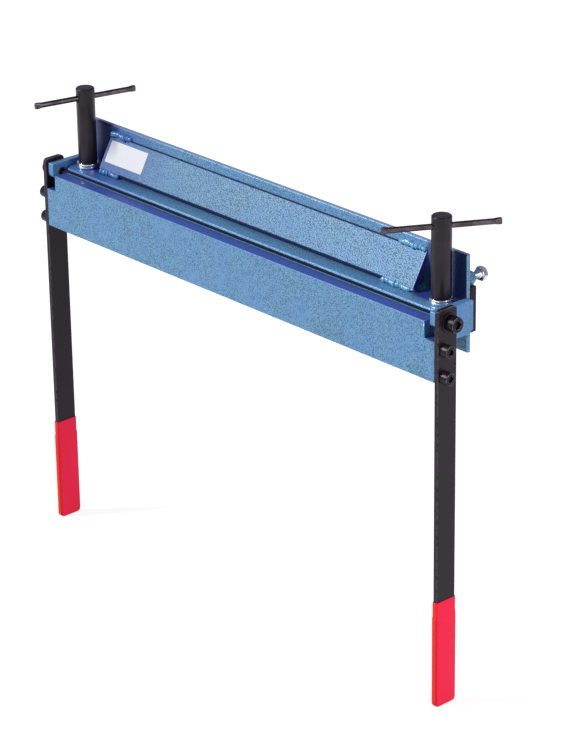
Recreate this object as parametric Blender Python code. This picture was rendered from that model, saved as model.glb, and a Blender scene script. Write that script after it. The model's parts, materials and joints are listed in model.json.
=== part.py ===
"""Sheet metal brake for a bench vice: folding apron, clamp beam and two screw-down nuts.

Metres, +Z up. X runs along the bend line and Y runs from the apron to the back.
The world origin is the middle of the face that a vice jaw presses on, the front face of the
base's rear leg. Every piece hangs on the empty "bend_line", and the comments call its place
"the bend line" and "the table": heights are above the table's top, and depths are behind
the bend line.
"""
import math
from collections import namedtuple

import bmesh
import bpy
from mathutils import Euler, Matrix, Vector

# Gaps between pieces
FIT = 0.0003
SIDE_PLAY = 0.0006
BEAM_END_PLAY = 0.0008
CUT_OVERRUN = 0.002

# Apron, the flat bar that folds the sheet
APRON_LENGTH = 0.5922
APRON_HEIGHT = 0.0600
APRON_T = 0.0150
APRON_EDGE = 0.0006
NOTCH_SIDE_GAP = 0.0055
NOTCH_SWING_GAP = 0.0008

# Levers and their grips
LEVER_W = 0.0250
LEVER_T = 0.0050
LEVER_AHEAD = 0.0150
LEVER_TOP = 0.0153
LEVER_DROP = 0.4080
LEVER_TOP_R = 0.0045
LEVER_EDGE = 0.0004
GRIP_LENGTH = 0.1170
GRIP_WALL = 0.0015
GRIP_END_WALL = 0.0026
GRIP_NECK = 0.0005
GRIP_NECK_LENGTH = 0.0170
GRIP_NECK_SLOPE = 0.0020
GRIP_CORNER_R = 0.0030
GRIP_END_R = 0.0040

# Base angle: the table and the rear leg that a vice holds
ANGLE_T = 0.0050
ANGLE_FILLET = 0.0040
ANGLE_TOE = 0.0020
BASE_DEPTH = 0.0420
BASE_LEG_HEIGHT = 0.0470
BASE_FRONT_GAP = 0.0004

# End plates
END_PLATE_T = 0.0080
END_PLATE_TOP = 0.0110
END_PLATE_DEEP = 0.0230
END_PLATE_SHORT = 0.0045
LUG_AHEAD = 0.0125
LUG_DROP = 0.0055
LUG_CORNER_R = 0.0050
END_PLATE_CHAMFER_Y = 0.0070
END_PLATE_CHAMFER_Z = 0.0035
END_PLATE_TOP_R = 0.0015

# Clamp beam
BEAM_LEG_HEIGHT = 0.0540
BEAM_SETBACK = 0.0010
BEAM_NOSE_DEPTH = 0.0014
BEAM_NOSE_FLAT = 0.0018
BEAM_CORNER_X = 0.0070
BEAM_CORNER_Y = 0.0130

# Slanted stiffener welded into the beam
STIFFENER_T = 0.0060
STIFFENER_LEAN = 0.0195
STIFFENER_LIP = 0.0047
STIFFENER_TOE = 0.7
STIFFENER_NUT_GAP = 0.0192
STIFFENER_OFFSET = -0.0061
STIFFENER_TOP = 0.0445

# Clamp studs, nuts and tommy bars
STUD_INSET = 0.0188
STUD_LEG_GAP = 0.0160
STUD_R = 0.0060
STUD_TOP = 0.0500
STUD_HOLE_PLAY = 0.00075
STUD_COLLAR_R = 0.0074
STUD_COLLAR_H = 0.0030
STUD_TAIL = 0.0020
CLAMP_NUT_R = 0.0101
CLAMP_NUT_LENGTH = 0.0830
CLAMP_NUT_CHAMFER = 0.0010
CLAMP_NUT_BORE_DEPTH = 0.0480
TOMMY_DROP = 0.0110
TOMMY_R = 0.0030
TOMMY_LENGTH = 0.1180
TOMMY_FLAT_LENGTH = 0.0120
TOMMY_FLAT_W = 0.0072
TOMMY_FLAT_T = 0.0044
TOMMY_ANGLE_LEFT = math.radians(77.0)
TOMMY_ANGLE_RIGHT = math.radians(59.5)
CLAMP_WASHER_R = 0.0120
CLAMP_WASHER_T = 0.0026
CLAMP_WASHERS = 2

# Lift springs and their cups under the table
CUP_R = 0.0130
CUP_BORE_R = 0.0105
CUP_DEPTH = 0.0180
CUP_FLOOR = 0.0030
SPRING_WIRE_R = 0.0008
SPRING_MEAN_R = 0.0089
SPRING_TURNS = 6
SPRING_END_PITCH = 0.0021
SPRING_POINTS_PER_TURN = 10

# Nut and washer that hold each stud under its cup
STUD_NUT_ACROSS = 0.0180
STUD_NUT_H = 0.0100
STUD_WASHER_R = 0.0120
STUD_WASHER_T = 0.0025

# Cap screws: the pivots and the two that hold each lever on the apron
PIVOT_R = 0.0050
PIVOT_HEAD_R = 0.0080
PIVOT_HEAD_H = 0.0100
PIVOT_SOCKET_ACROSS = 0.0080
PIVOT_SOCKET_DEPTH = 0.0050
PIVOT_WASHER_R = 0.0100
PIVOT_WASHER_T = 0.0010
LEVER_SCREW_R = 0.0040
LEVER_SCREW_HEAD_R = 0.0065
LEVER_SCREW_HEAD_H = 0.0080
LEVER_SCREW_SOCKET_ACROSS = 0.0060
LEVER_SCREW_SOCKET_DEPTH = 0.0040
LEVER_SCREW_GRIP = 0.0220
LEVER_SCREW_DEPTH = 0.0075
LEVER_SCREW_DROPS = (0.0260, 0.0540)
LOCK_WASHER_R = 0.0063
LOCK_WASHER_T = 0.0016
HEAD_CHAMFER = 0.0008

# Adjusting screws on the guide strips, which push the beam's rear leg forwards
ADJUSTER_INSET = 0.0078
ADJUSTER_R = 0.0040
ADJUSTER_ACROSS = 0.0130
ADJUSTER_HEAD_H = 0.0053
ADJUSTER_LENGTH = 0.0190
ADJUSTER_NUT_H = 0.0080

# Guide strips behind the rear legs, and their countersunk screws
STRIP_W = 0.0250
STRIP_T = 0.0080
STRIP_TOP = 0.0195
STRIP_DROP = 0.0275
STRIP_EDGE = 0.0006
STRIP_SCREW_R = 0.0025
STRIP_SCREW_HEAD_R = 0.0046
STRIP_SCREW_DROPS = (0.0090, 0.0210)

# Facets
ROUND_SIDES = 32
SMALL_SIDES = 20
ARC_STEPS = 4

# Places worked out from the sizes above
APRON_END_X = APRON_LENGTH / 2
LEVER_IN_X = APRON_END_X + FIT
LEVER_OUT_X = LEVER_IN_X + LEVER_T
END_PLATE_OUT_X = LEVER_IN_X - SIDE_PLAY
END_PLATE_IN_X = END_PLATE_OUT_X - END_PLATE_T
BASE_END_X = END_PLATE_IN_X - FIT
BEAM_END_X = END_PLATE_IN_X - BEAM_END_PLAY
LEG_FACE_Y = BASE_DEPTH - ANGLE_T
END_PLATE_BACK = BASE_DEPTH - END_PLATE_SHORT
STUD_DEPTH = LEG_FACE_Y - STUD_LEG_GAP
STIFFENER_FOOT = LEG_FACE_Y - STIFFENER_LEAN
STUD_X = END_PLATE_IN_X - STUD_INSET
STIFFENER_END_X = STUD_X - CLAMP_NUT_R - STIFFENER_NUT_GAP
ADJUSTER_X = END_PLATE_IN_X - ADJUSTER_INSET
ADJUSTER_HEIGHT = STRIP_TOP + FIT + ADJUSTER_ACROSS / 2
STRIP_OUT_X = BASE_END_X
STRIP_X = STRIP_OUT_X - STRIP_W / 2
LUG_SWING_R = math.hypot(LUG_AHEAD, END_PLATE_TOP)
NOTCH_X = END_PLATE_IN_X - NOTCH_SIDE_GAP
NOTCH_DROP = LUG_SWING_R + NOTCH_SWING_GAP
BEAM_FLOOR = FIT
BEAM_TOP = BEAM_FLOOR + ANGLE_T
BEAM_CREST = BEAM_FLOOR + BEAM_LEG_HEIGHT
WASHER_STEP = CLAMP_WASHER_T + FIT
CLAMP_NUT_FOOT = BEAM_TOP + FIT + CLAMP_WASHERS * WASHER_STEP
CLAMP_NUT_CROWN = CLAMP_NUT_FOOT + CLAMP_NUT_LENGTH
TOMMY_HEIGHT = CLAMP_NUT_CROWN - TOMMY_DROP
CUP_TOP = -ANGLE_T - FIT
CUP_BOTTOM = CUP_TOP - CUP_DEPTH
CUP_FLOOR_TOP = CUP_BOTTOM + CUP_FLOOR
STUD_WASHER_TOP = CUP_BOTTOM - FIT
STUD_NUT_TOP = STUD_WASHER_TOP - STUD_WASHER_T - FIT
STUD_BOTTOM = STUD_NUT_TOP - STUD_NUT_H - STUD_TAIL
BEND_LINE = Vector((0, -LEG_FACE_Y, (BASE_LEG_HEIGHT - ANGLE_T) / 2 + ANGLE_T))
SIDES = ((-1, "left"), (1, "right"))

Seat = namedtuple("Seat", "label side place turn")


def clear_scene():
    """Remove every object, so that the script can run again in the same file."""
    for old in list(bpy.data.objects):
        bpy.data.objects.remove(old, do_unlink=True)


def material(name, colour, roughness, metallic):
    """Return a Principled material with one colour."""
    made = bpy.data.materials.new(name)
    made.use_nodes = True
    shader = made.node_tree.nodes["Principled BSDF"]
    shader.inputs["Base Color"].default_value = (*colour, 1)
    shader.inputs["Roughness"].default_value = roughness
    shader.inputs["Metallic"].default_value = metallic
    made.diffuse_color = (*colour, 1)
    return made


def empty(name, parent=None, place=(0, 0, 0), turn=(0, 0, 0)):
    """Add an empty that marks a joint's axis or a seat."""
    mark = bpy.data.objects.new(name, None)
    bpy.context.scene.collection.objects.link(mark)
    mark.parent = parent
    mark.location = place
    mark.rotation_euler = turn
    return mark


def finish_object(name, bm, finish, parent, place=(0, 0, 0), turn=(0, 0, 0), smooth=True):
    """Turn a bmesh into a named object with its material, place and shading."""
    bm.normal_update()
    bmesh.ops.recalc_face_normals(bm, faces=bm.faces)
    mesh = bpy.data.meshes.new(name)
    bm.to_mesh(mesh)
    bm.free()
    if smooth:
        mesh.shade_smooth()
        mesh.set_sharp_from_angle(angle=math.radians(30))
    made = bpy.data.objects.new(name, mesh)
    bpy.context.scene.collection.objects.link(made)
    made.parent = parent
    made.location = place
    made.rotation_euler = turn
    if finish is not None:
        mesh.materials.append(finish)
    return made


def cutter(name, bm, parent, place=(0, 0, 0), turn=(0, 0, 0)):
    """Make a shape that only cuts others, drawn as wire and left out of the render."""
    made = finish_object(name, bm, None, parent, place, turn, smooth=False)
    made.hide_render = True
    made.display_type = "WIRE"
    return made


def cut(target, tool):
    """Take the tool's shape out of the target."""
    boolean = target.modifiers.new(tool.name, "BOOLEAN")
    boolean.operation = "DIFFERENCE"
    boolean.solver = "EXACT"
    boolean.object = tool


def bevel(target, width):
    """Break the target's sharp edges."""
    edge = target.modifiers.new("broken_edges", "BEVEL")
    edge.width = width
    edge.segments = 1
    edge.limit_method = "ANGLE"
    edge.angle_limit = math.radians(40)


def arc(centre, radius, start, end, steps=ARC_STEPS):
    """Points on a round corner; start and end are degrees from the first axis."""
    angles = [math.radians(start + (end - start) * i / steps) for i in range(steps + 1)]
    return [(centre[0] + radius * math.cos(a), centre[1] + radius * math.sin(a)) for a in angles]


def extruded(outline, axis, low, high):
    """Extrude a closed outline along X, Y or Z, between two places on that axis."""
    spot = {
        "X": lambda u, v, w: (w, u, v),
        "Y": lambda u, v, w: (u, w, v),
        "Z": lambda u, v, w: (u, v, w),
    }[axis]
    bm = bmesh.new()
    face = bm.faces.new([bm.verts.new(spot(u, v, low)) for u, v in outline])
    grown = bmesh.ops.extrude_face_region(bm, geom=[face])
    moved = [item for item in grown["geom"] if isinstance(item, bmesh.types.BMVert)]
    bmesh.ops.translate(bm, verts=moved, vec=Vector(spot(0, 0, high - low)))
    return bm


def box(x0, x1, y0, y1, z0, z1):
    """A block between two corners."""
    return extruded([(x0, y0), (x1, y0), (x1, y1), (x0, y1)], "Z", z0, z1)


def turned(profile, sides=ROUND_SIDES, hollow=False):
    """Turn a profile of (radius, height) points about Z; a hollow one is a closed loop."""
    bm = bmesh.new()
    verts = [bm.verts.new((radius, 0, height)) for radius, height in profile]
    pairs = list(zip(verts, verts[1:]))
    if hollow:
        pairs.append((verts[-1], verts[0]))
    edges = [bm.edges.new(pair) for pair in pairs]
    bmesh.ops.spin(
        bm, geom=verts + edges, cent=(0, 0, 0), axis=(0, 0, 1),
        angle=math.tau, steps=sides, use_merge=True, use_duplicate=False,
    )
    bmesh.ops.remove_doubles(bm, verts=bm.verts, dist=FIT / 1000)
    return bm


def rod(radius, low, high, sides=ROUND_SIDES):
    """A plain round bar along Z."""
    return turned([(0, low), (radius, low), (radius, high), (0, high)], sides)


def ring(outer, inner, low, high, sides=ROUND_SIDES):
    """A plain washer or bush along Z."""
    return turned([(inner, low), (outer, low), (outer, high), (inner, high)], sides, hollow=True)


def hexagon(across, start=0):
    """A hexagon by its size across flats, with a corner at the start angle in degrees."""
    radius = across / math.sqrt(3)
    angles = [math.radians(start + 60 * i) for i in range(6)]
    return [(radius * math.cos(a), radius * math.sin(a)) for a in angles]


def placed(prefix, make, seats, finish, parent, smooth=True):
    """One object for each seat, named by the seat's label."""
    return [
        finish_object(f"{prefix}_{seat.label}", make(), finish, parent, seat.place, seat.turn, smooth)
        for seat in seats
    ]


def gathered(make, seats):
    """Several copies of one cutting shape in one mesh, one at each seat."""
    bm = bmesh.new()
    for seat in seats:
        one = make()
        one.transform(Matrix.Translation(seat.place) @ Euler(seat.turn).to_matrix().to_4x4())
        mesh = bpy.data.meshes.new("copy")
        one.to_mesh(mesh)
        one.free()
        bm.from_mesh(mesh)
        bpy.data.meshes.remove(mesh)
    return bm


def angle_outline(u_length, v_length, u_end):
    """An angle bar's section with its outer corner at zero; u_end closes the first leg."""
    inner = ANGLE_T + ANGLE_FILLET
    fillet = arc((inner, inner), ANGLE_FILLET, 270, 180)
    toe = arc((ANGLE_T - ANGLE_TOE, v_length - ANGLE_TOE), ANGLE_TOE, 0, 90)
    return [(0, 0), (u_length, 0), *u_end, *fillet, *toe, (0, v_length)]


def out_along_x(side):
    """The turn that points a piece's own Z outwards along X."""
    return (0, side * math.pi / 2, 0)


BACK_ALONG_Y = (-math.pi / 2, 0, 0)
LEVELS = ("upper", "lower")


def build_base(root, blue):
    """Base angle: the table in front, the rear leg that the vice holds behind."""
    toe = arc((BASE_DEPTH - BASE_FRONT_GAP - ANGLE_TOE, ANGLE_T - ANGLE_TOE), ANGLE_TOE, 0, 90)
    section = angle_outline(BASE_DEPTH - BASE_FRONT_GAP, BASE_LEG_HEIGHT, toe)
    outline = [(BASE_DEPTH - u, -v) for u, v in section]
    base = finish_object(
        "base_angle", extruded(outline, "X", -BASE_END_X, BASE_END_X), blue, root)

    drill = lambda: rod(CUP_BORE_R, -ANGLE_T - CUT_OVERRUN, CUT_OVERRUN)
    cut(base, cutter("cut_spring_wells", gathered(drill, stud_seats()), root))
    drill = lambda: rod(STRIP_SCREW_R + FIT, -CUT_OVERRUN, ANGLE_T + CUT_OVERRUN, SMALL_SIDES)
    cut(base, cutter("cut_strip_holes", gathered(drill, strip_screw_seats()), root))


def stud_seats():
    """The two studs' axes, at the height of the table."""
    return [Seat(label, side, (side * STUD_X, STUD_DEPTH, 0), (0, 0, 0)) for side, label in SIDES]


def strip_screw_seats():
    """The guide strips' screws, each pointing backwards from the rear leg's front face."""
    return [
        Seat(f"{label}_{level}", side, (side * STRIP_X, LEG_FACE_Y, -drop), BACK_ALONG_Y)
        for side, label in SIDES for level, drop in zip(LEVELS, STRIP_SCREW_DROPS)
    ]


def build_end_plates(root, blue):
    """End plates: a front lug over the apron's notch, deeper behind the bend line."""
    rear_low = -END_PLATE_DEEP + END_PLATE_CHAMFER_Z
    outline = [
        (BASE_FRONT_GAP, -END_PLATE_DEEP),
        (END_PLATE_BACK - END_PLATE_CHAMFER_Y, -END_PLATE_DEEP),
        (END_PLATE_BACK, rear_low),
        *arc((END_PLATE_BACK - END_PLATE_TOP_R, END_PLATE_TOP - END_PLATE_TOP_R),
             END_PLATE_TOP_R, 0, 90),
        *arc((-LUG_AHEAD + END_PLATE_TOP_R, END_PLATE_TOP - END_PLATE_TOP_R),
             END_PLATE_TOP_R, 90, 180),
        *arc((-LUG_AHEAD + LUG_CORNER_R, -LUG_DROP + LUG_CORNER_R), LUG_CORNER_R, 180, 270),
        (BASE_FRONT_GAP, -LUG_DROP),
    ]
    for side, label in SIDES:
        low, high = sorted((side * END_PLATE_IN_X, side * END_PLATE_OUT_X))
        plate = finish_object(f"end_plate_{label}", extruded(outline, "X", low, high), blue, root)
        drill = rod(PIVOT_R + FIT, -END_PLATE_T - CUT_OVERRUN, CUT_OVERRUN, SMALL_SIDES)
        place = (side * END_PLATE_OUT_X, 0, 0)
        cut(plate, cutter(f"cut_pivot_{label}", drill, root, place, out_along_x(side)))


def build_guide_strips(root, black, zinc):
    """Flat strips behind the legs, which keep the beam's rear leg over the base's."""
    front = BASE_DEPTH + FIT
    back = front + STRIP_T
    head_h = STRIP_SCREW_HEAD_R - STRIP_SCREW_R
    leg_to_back = back - LEG_FACE_Y

    def screw(grow, start, end):
        """A countersunk screw along Z from the leg's face; grow widens it to a clearance."""
        shank = STRIP_SCREW_R + grow
        head = STRIP_SCREW_HEAD_R + grow
        return turned([(0, start), (shank, start), (shank, end - head_h), (head, end), (0, end)],
                      SMALL_SIDES)

    for side, label in SIDES:
        block = box(-STRIP_W / 2, STRIP_W / 2, 0, STRIP_T, -STRIP_DROP, STRIP_TOP)
        strip = finish_object(
            f"guide_strip_{label}", block, black, root, (side * STRIP_X, front, 0), smooth=False)
        bevel(strip, STRIP_EDGE)
        own = [seat for seat in strip_screw_seats() if seat.side == side]
        sinks = gathered(lambda: screw(FIT, 0, leg_to_back + FIT / 2), own)
        cut(strip, cutter(f"cut_strip_{label}", sinks, root))
    placed("strip_screw", lambda: screw(0, FIT, leg_to_back - FIT / 2), strip_screw_seats(),
           zinc, root)


def build_studs(root, steel, zinc, blue):
    """Cups, springs and studs under each clamp nut, with the nut that holds each stud."""
    for side, label in SIDES:
        seat = empty(f"stud_axis_{label}", root, (side * STUD_X, STUD_DEPTH, 0))
        cup = turned([
            (STUD_R + FIT, CUP_BOTTOM), (CUP_R, CUP_BOTTOM), (CUP_R, CUP_TOP),
            (CUP_BORE_R, CUP_TOP), (CUP_BORE_R, CUP_FLOOR_TOP), (STUD_R + FIT, CUP_FLOOR_TOP),
        ], hollow=True)
        finish_object(f"spring_cup_{label}", cup, blue, seat)

        collar = CUP_FLOOR_TOP + FIT
        stud = turned([
            (0, STUD_BOTTOM), (STUD_R, STUD_BOTTOM), (STUD_R, collar),
            (STUD_COLLAR_R, collar), (STUD_COLLAR_R, collar + STUD_COLLAR_H),
            (STUD_R, collar + STUD_COLLAR_H), (STUD_R, STUD_TOP - HEAD_CHAMFER),
            (STUD_R - HEAD_CHAMFER, STUD_TOP), (0, STUD_TOP),
        ], SMALL_SIDES)
        finish_object(f"clamp_stud_{label}", stud, steel, seat)
        build_spring(f"lift_spring_{label}", steel, seat)

    low = STUD_WASHER_TOP - STUD_WASHER_T
    washer = lambda: ring(STUD_WASHER_R, STUD_R + FIT, low, STUD_WASHER_TOP, SMALL_SIDES)
    placed("stud_washer", washer, stud_seats(), zinc, root)

    low = STUD_NUT_TOP - STUD_NUT_H
    blank = lambda: extruded(hexagon(STUD_NUT_ACROSS), "Z", low, STUD_NUT_TOP)
    nuts = placed("stud_nut", blank, stud_seats(), zinc, root, smooth=False)
    drill = lambda: rod(STUD_R + FIT, low - CUT_OVERRUN, STUD_NUT_TOP + CUT_OVERRUN, SMALL_SIDES)
    bores = cutter("cut_stud_nuts", gathered(drill, stud_seats()), root)
    for nut in nuts:
        cut(nut, bores)


def spring_path():
    """Points of the coil: a close turn at each end and an even pitch between."""
    low = CUP_FLOOR_TOP + FIT + SPRING_WIRE_R
    high = BEAM_FLOOR - FIT - SPRING_WIRE_R
    middle_pitch = (high - low - 2 * SPRING_END_PITCH) / (SPRING_TURNS - 2)
    points = []
    for i in range(SPRING_TURNS * SPRING_POINTS_PER_TURN + 1):
        turn = i / SPRING_POINTS_PER_TURN
        first = min(turn, 1)
        middle = min(max(turn - 1, 0), SPRING_TURNS - 2)
        last = max(turn - (SPRING_TURNS - 1), 0)
        height = low + (first + last) * SPRING_END_PITCH + middle * middle_pitch
        angle = math.tau * turn
        points.append((SPRING_MEAN_R * math.cos(angle), SPRING_MEAN_R * math.sin(angle), height))
    return points


def least_gap(points):
    """The least gap of the coil to itself, between points more than half a turn apart."""
    apart = SPRING_POINTS_PER_TURN // 2 + 1
    nearest = min(
        (Vector(points[i]) - Vector(points[j])).length
        for i in range(len(points)) for j in range(i + apart, len(points)))
    return nearest - 2 * SPRING_WIRE_R


def build_spring(name, steel, seat):
    """A compression spring that lifts the beam when the nuts are let off."""
    points = spring_path()
    curve = bpy.data.curves.new(name, "CURVE")
    curve.dimensions = "3D"
    curve.bevel_depth = SPRING_WIRE_R
    curve.bevel_resolution = 1
    curve.use_fill_caps = True
    spline = curve.splines.new("POLY")
    spline.points.add(len(points) - 1)
    for spot, (x, y, z) in zip(spline.points, points):
        spot.co = (x, y, z, 1)
    curve.materials.append(steel)
    spring = bpy.data.objects.new(name, curve)
    bpy.context.scene.collection.objects.link(spring)
    spring.parent = seat
    print(f"{name}: least gap to itself {least_gap(points) * 1000:.2f} mm")


def cap_screw(radius, reach, head_r, head_h):
    """A cap screw along Z: its head stands on zero and its shank reaches below."""
    return turned([
        (0, -reach), (radius - HEAD_CHAMFER, -reach), (radius, -reach + HEAD_CHAMFER),
        (radius, 0), (head_r, 0), (head_r, head_h - HEAD_CHAMFER),
        (head_r - HEAD_CHAMFER, head_h), (0, head_h),
    ], SMALL_SIDES)


def build_pivots(root, black):
    """Pivot screws through the levers into the end plates, on the bend line."""
    head_x = LEVER_OUT_X + FIT + PIVOT_WASHER_T + FIT
    reach = head_x - END_PLATE_IN_X
    for side, label in SIDES:
        axis = empty(f"pivot_axis_{label}", root, (side * head_x, 0, 0), out_along_x(side))
        screw = finish_object(
            f"pivot_screw_{label}", cap_screw(PIVOT_R, reach, PIVOT_HEAD_R, PIVOT_HEAD_H),
            black, axis)
        socket = extruded(hexagon(PIVOT_SOCKET_ACROSS), "Z",
                          PIVOT_HEAD_H - PIVOT_SOCKET_DEPTH, PIVOT_HEAD_H + CUT_OVERRUN)
        cut(screw, cutter(f"cut_pivot_socket_{label}", socket, axis))
    seats = [
        Seat(label, side, (side * (LEVER_OUT_X + FIT), 0, 0), out_along_x(side))
        for side, label in SIDES
    ]
    washer = lambda: ring(PIVOT_WASHER_R, PIVOT_R + FIT, 0, PIVOT_WASHER_T, SMALL_SIDES)
    placed("pivot_washer", washer, seats, black, root)


def build_apron(hinge, blue):
    """The apron bar, notched at its top corners to swing round the end plates' lugs."""
    outline = [
        (-APRON_END_X, -APRON_HEIGHT), (APRON_END_X, -APRON_HEIGHT),
        (APRON_END_X, -NOTCH_DROP), (NOTCH_X, -NOTCH_DROP), (NOTCH_X, 0),
        (-NOTCH_X, 0), (-NOTCH_X, -NOTCH_DROP), (-APRON_END_X, -NOTCH_DROP),
    ]
    apron = finish_object(
        "apron_bar", extruded(outline, "Y", -APRON_T, 0), blue, hinge, smooth=False)
    bevel(apron, APRON_EDGE)
    drill = lambda: rod(LEVER_SCREW_R + FIT, -LEVER_SCREW_GRIP - FIT, CUT_OVERRUN, SMALL_SIDES)
    cut(apron, cutter("cut_apron_ends", gathered(drill, lever_screw_seats(APRON_END_X)), hinge))


def lever_screw_seats(x):
    """The screws that hold the levers, each pointing outwards at this distance from the middle."""
    return [
        Seat(f"{label}_{level}", side, (side * x, -LEVER_SCREW_DEPTH, -drop), out_along_x(side))
        for side, label in SIDES for level, drop in zip(LEVELS, LEVER_SCREW_DROPS)
    ]


def build_levers(hinge, black, red):
    """Flat bar levers with a rounded top, and the grips pushed over their ends."""
    back = LEVER_W - LEVER_AHEAD
    outline = [
        (-LEVER_AHEAD, -LEVER_DROP), (back, -LEVER_DROP),
        *arc((back - LEVER_TOP_R, LEVER_TOP - LEVER_TOP_R), LEVER_TOP_R, 0, 90),
        *arc((-LEVER_AHEAD + LEVER_TOP_R, LEVER_TOP - LEVER_TOP_R), LEVER_TOP_R, 90, 180),
    ]
    for side, label in SIDES:
        low, high = sorted((side * LEVER_IN_X, side * LEVER_OUT_X))
        lever = finish_object(f"lever_{label}", extruded(outline, "X", low, high), black, hinge)
        bevel(lever, LEVER_EDGE)
        reach = LEVER_T + CUT_OVERRUN
        drill = rod(PIVOT_R + FIT, -reach, CUT_OVERRUN, SMALL_SIDES)
        place = (side * LEVER_OUT_X, 0, 0)
        cut(lever, cutter(f"cut_lever_pivot_{label}", drill, hinge, place, out_along_x(side)))
        holes = [seat for seat in lever_screw_seats(LEVER_OUT_X) if seat.side == side]
        drill = lambda: rod(LEVER_SCREW_R + FIT, -reach, CUT_OVERRUN, SMALL_SIDES)
        cut(lever, cutter(f"cut_lever_screws_{label}", gathered(drill, holes), hinge))
        build_grip(f"grip_{label}", side, red, hinge)


def rounded_section(half_x, half_y, radius, height):
    """A ring of points round a rectangle with round corners, at one height."""
    points = []
    corners = ((1, 1, 0), (-1, 1, 90), (-1, -1, 180), (1, -1, 270))
    for sx, sy, start in corners:
        centre = (sx * (half_x - radius), sy * (half_y - radius))
        points += [(x, y, height) for x, y in arc(centre, radius, start, start + 90)]
    return points


def build_grip(name, side, red, hinge):
    """A dipped sleeve, closed below, with a thinner neck at its mouth."""
    centre_y = LEVER_W / 2 - LEVER_AHEAD
    centre_x = (LEVER_IN_X + LEVER_OUT_X) / 2
    half_x = LEVER_T / 2 + GRIP_WALL
    half_y = LEVER_W / 2 + GRIP_WALL
    bottom = -LEVER_DROP - FIT - GRIP_END_WALL
    mouth = bottom + GRIP_LENGTH
    rows = [
        (-GRIP_NECK, mouth),
        (-GRIP_NECK, mouth - GRIP_NECK_LENGTH),
        (0, mouth - GRIP_NECK_LENGTH - GRIP_NECK_SLOPE),
        (0, bottom + GRIP_END_R),
        (-GRIP_WALL / 2, bottom + GRIP_END_R / 4),
        (-GRIP_WALL, bottom),
    ]
    bm = bmesh.new()
    loops = []
    for grow, height in rows:
        section = rounded_section(half_x + grow, half_y + grow, GRIP_CORNER_R + grow, height)
        verts = [bm.verts.new(point) for point in section]
        loops.append([bm.edges.new((a, b)) for a, b in zip(verts, verts[1:] + verts[:1])])
    for upper, lower in zip(loops, loops[1:]):
        bmesh.ops.bridge_loops(bm, edges=upper + lower)
    bmesh.ops.edgeloop_fill(bm, edges=loops[0])
    bmesh.ops.edgeloop_fill(bm, edges=loops[-1])
    grip = finish_object(name, bm, red, hinge, (side * centre_x, centre_y, 0))
    bore = box(
        -LEVER_T / 2 - FIT, LEVER_T / 2 + FIT, -LEVER_W / 2 - FIT, LEVER_W / 2 + FIT,
        -LEVER_DROP - FIT, mouth + CUT_OVERRUN)
    cut(grip, cutter(f"cut_{name}", bore, hinge, (side * centre_x, centre_y, 0)))


def build_lever_screws(hinge, black):
    """Cap screws with lock washers that hold the levers on the apron's ends."""
    seat_x = LEVER_OUT_X + FIT
    head_x = seat_x + LOCK_WASHER_T + FIT
    reach = head_x - APRON_END_X + LEVER_SCREW_GRIP
    make = lambda: cap_screw(LEVER_SCREW_R, reach, LEVER_SCREW_HEAD_R, LEVER_SCREW_HEAD_H)
    screws = placed("lever_screw", make, lever_screw_seats(head_x), black, hinge)
    socket = lambda: extruded(
        hexagon(LEVER_SCREW_SOCKET_ACROSS), "Z",
        LEVER_SCREW_HEAD_H - LEVER_SCREW_SOCKET_DEPTH, LEVER_SCREW_HEAD_H + CUT_OVERRUN)
    sockets = cutter("cut_lever_screw_sockets", gathered(socket, lever_screw_seats(head_x)), hinge)
    for screw in screws:
        cut(screw, sockets)
    washer = lambda: ring(LOCK_WASHER_R, LEVER_SCREW_R + FIT, 0, LOCK_WASHER_T, SMALL_SIDES)
    placed("lock_washer", washer, lever_screw_seats(seat_x), black, hinge)


def build_beam(root, blue):
    """Clamp beam: an angle bar whose bevelled nose presses the sheet on the table."""
    reach = BASE_DEPTH - BEAM_SETBACK
    nose = [(reach, BEAM_NOSE_FLAT), (reach - BEAM_NOSE_DEPTH, ANGLE_T)]
    section = angle_outline(reach, BEAM_LEG_HEIGHT, nose)
    outline = [(BASE_DEPTH - u, BEAM_FLOOR + v) for u, v in section]
    beam = finish_object(
        "clamp_beam", extruded(outline, "X", -BEAM_END_X, BEAM_END_X), blue, root)

    drill = lambda: rod(STUD_R + STUD_HOLE_PLAY, BEAM_FLOOR - FIT / 2, BEAM_TOP + CUT_OVERRUN,
                        SMALL_SIDES)
    cut(beam, cutter("cut_beam_studs", gathered(drill, stud_seats()), root))

    over = CUT_OVERRUN
    slope = BEAM_CORNER_Y / BEAM_CORNER_X
    front = BEAM_SETBACK
    wedge = [
        (BEAM_END_X - BEAM_CORNER_X - over / slope, front - over),
        (BEAM_END_X + over, front - over),
        (BEAM_END_X + over, front + BEAM_CORNER_Y + over * slope),
    ]
    wedges = extruded(wedge, "Z", BEAM_FLOOR - FIT / 2, BEAM_TOP + over)
    mirrored = bmesh.ops.duplicate(wedges, geom=wedges.verts[:] + wedges.edges[:] + wedges.faces[:])
    flipped = [item for item in mirrored["geom"] if isinstance(item, bmesh.types.BMVert)]
    bmesh.ops.scale(wedges, verts=flipped, vec=(-1, 1, 1))
    cut(beam, cutter("cut_beam_corners", wedges, root))


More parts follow.
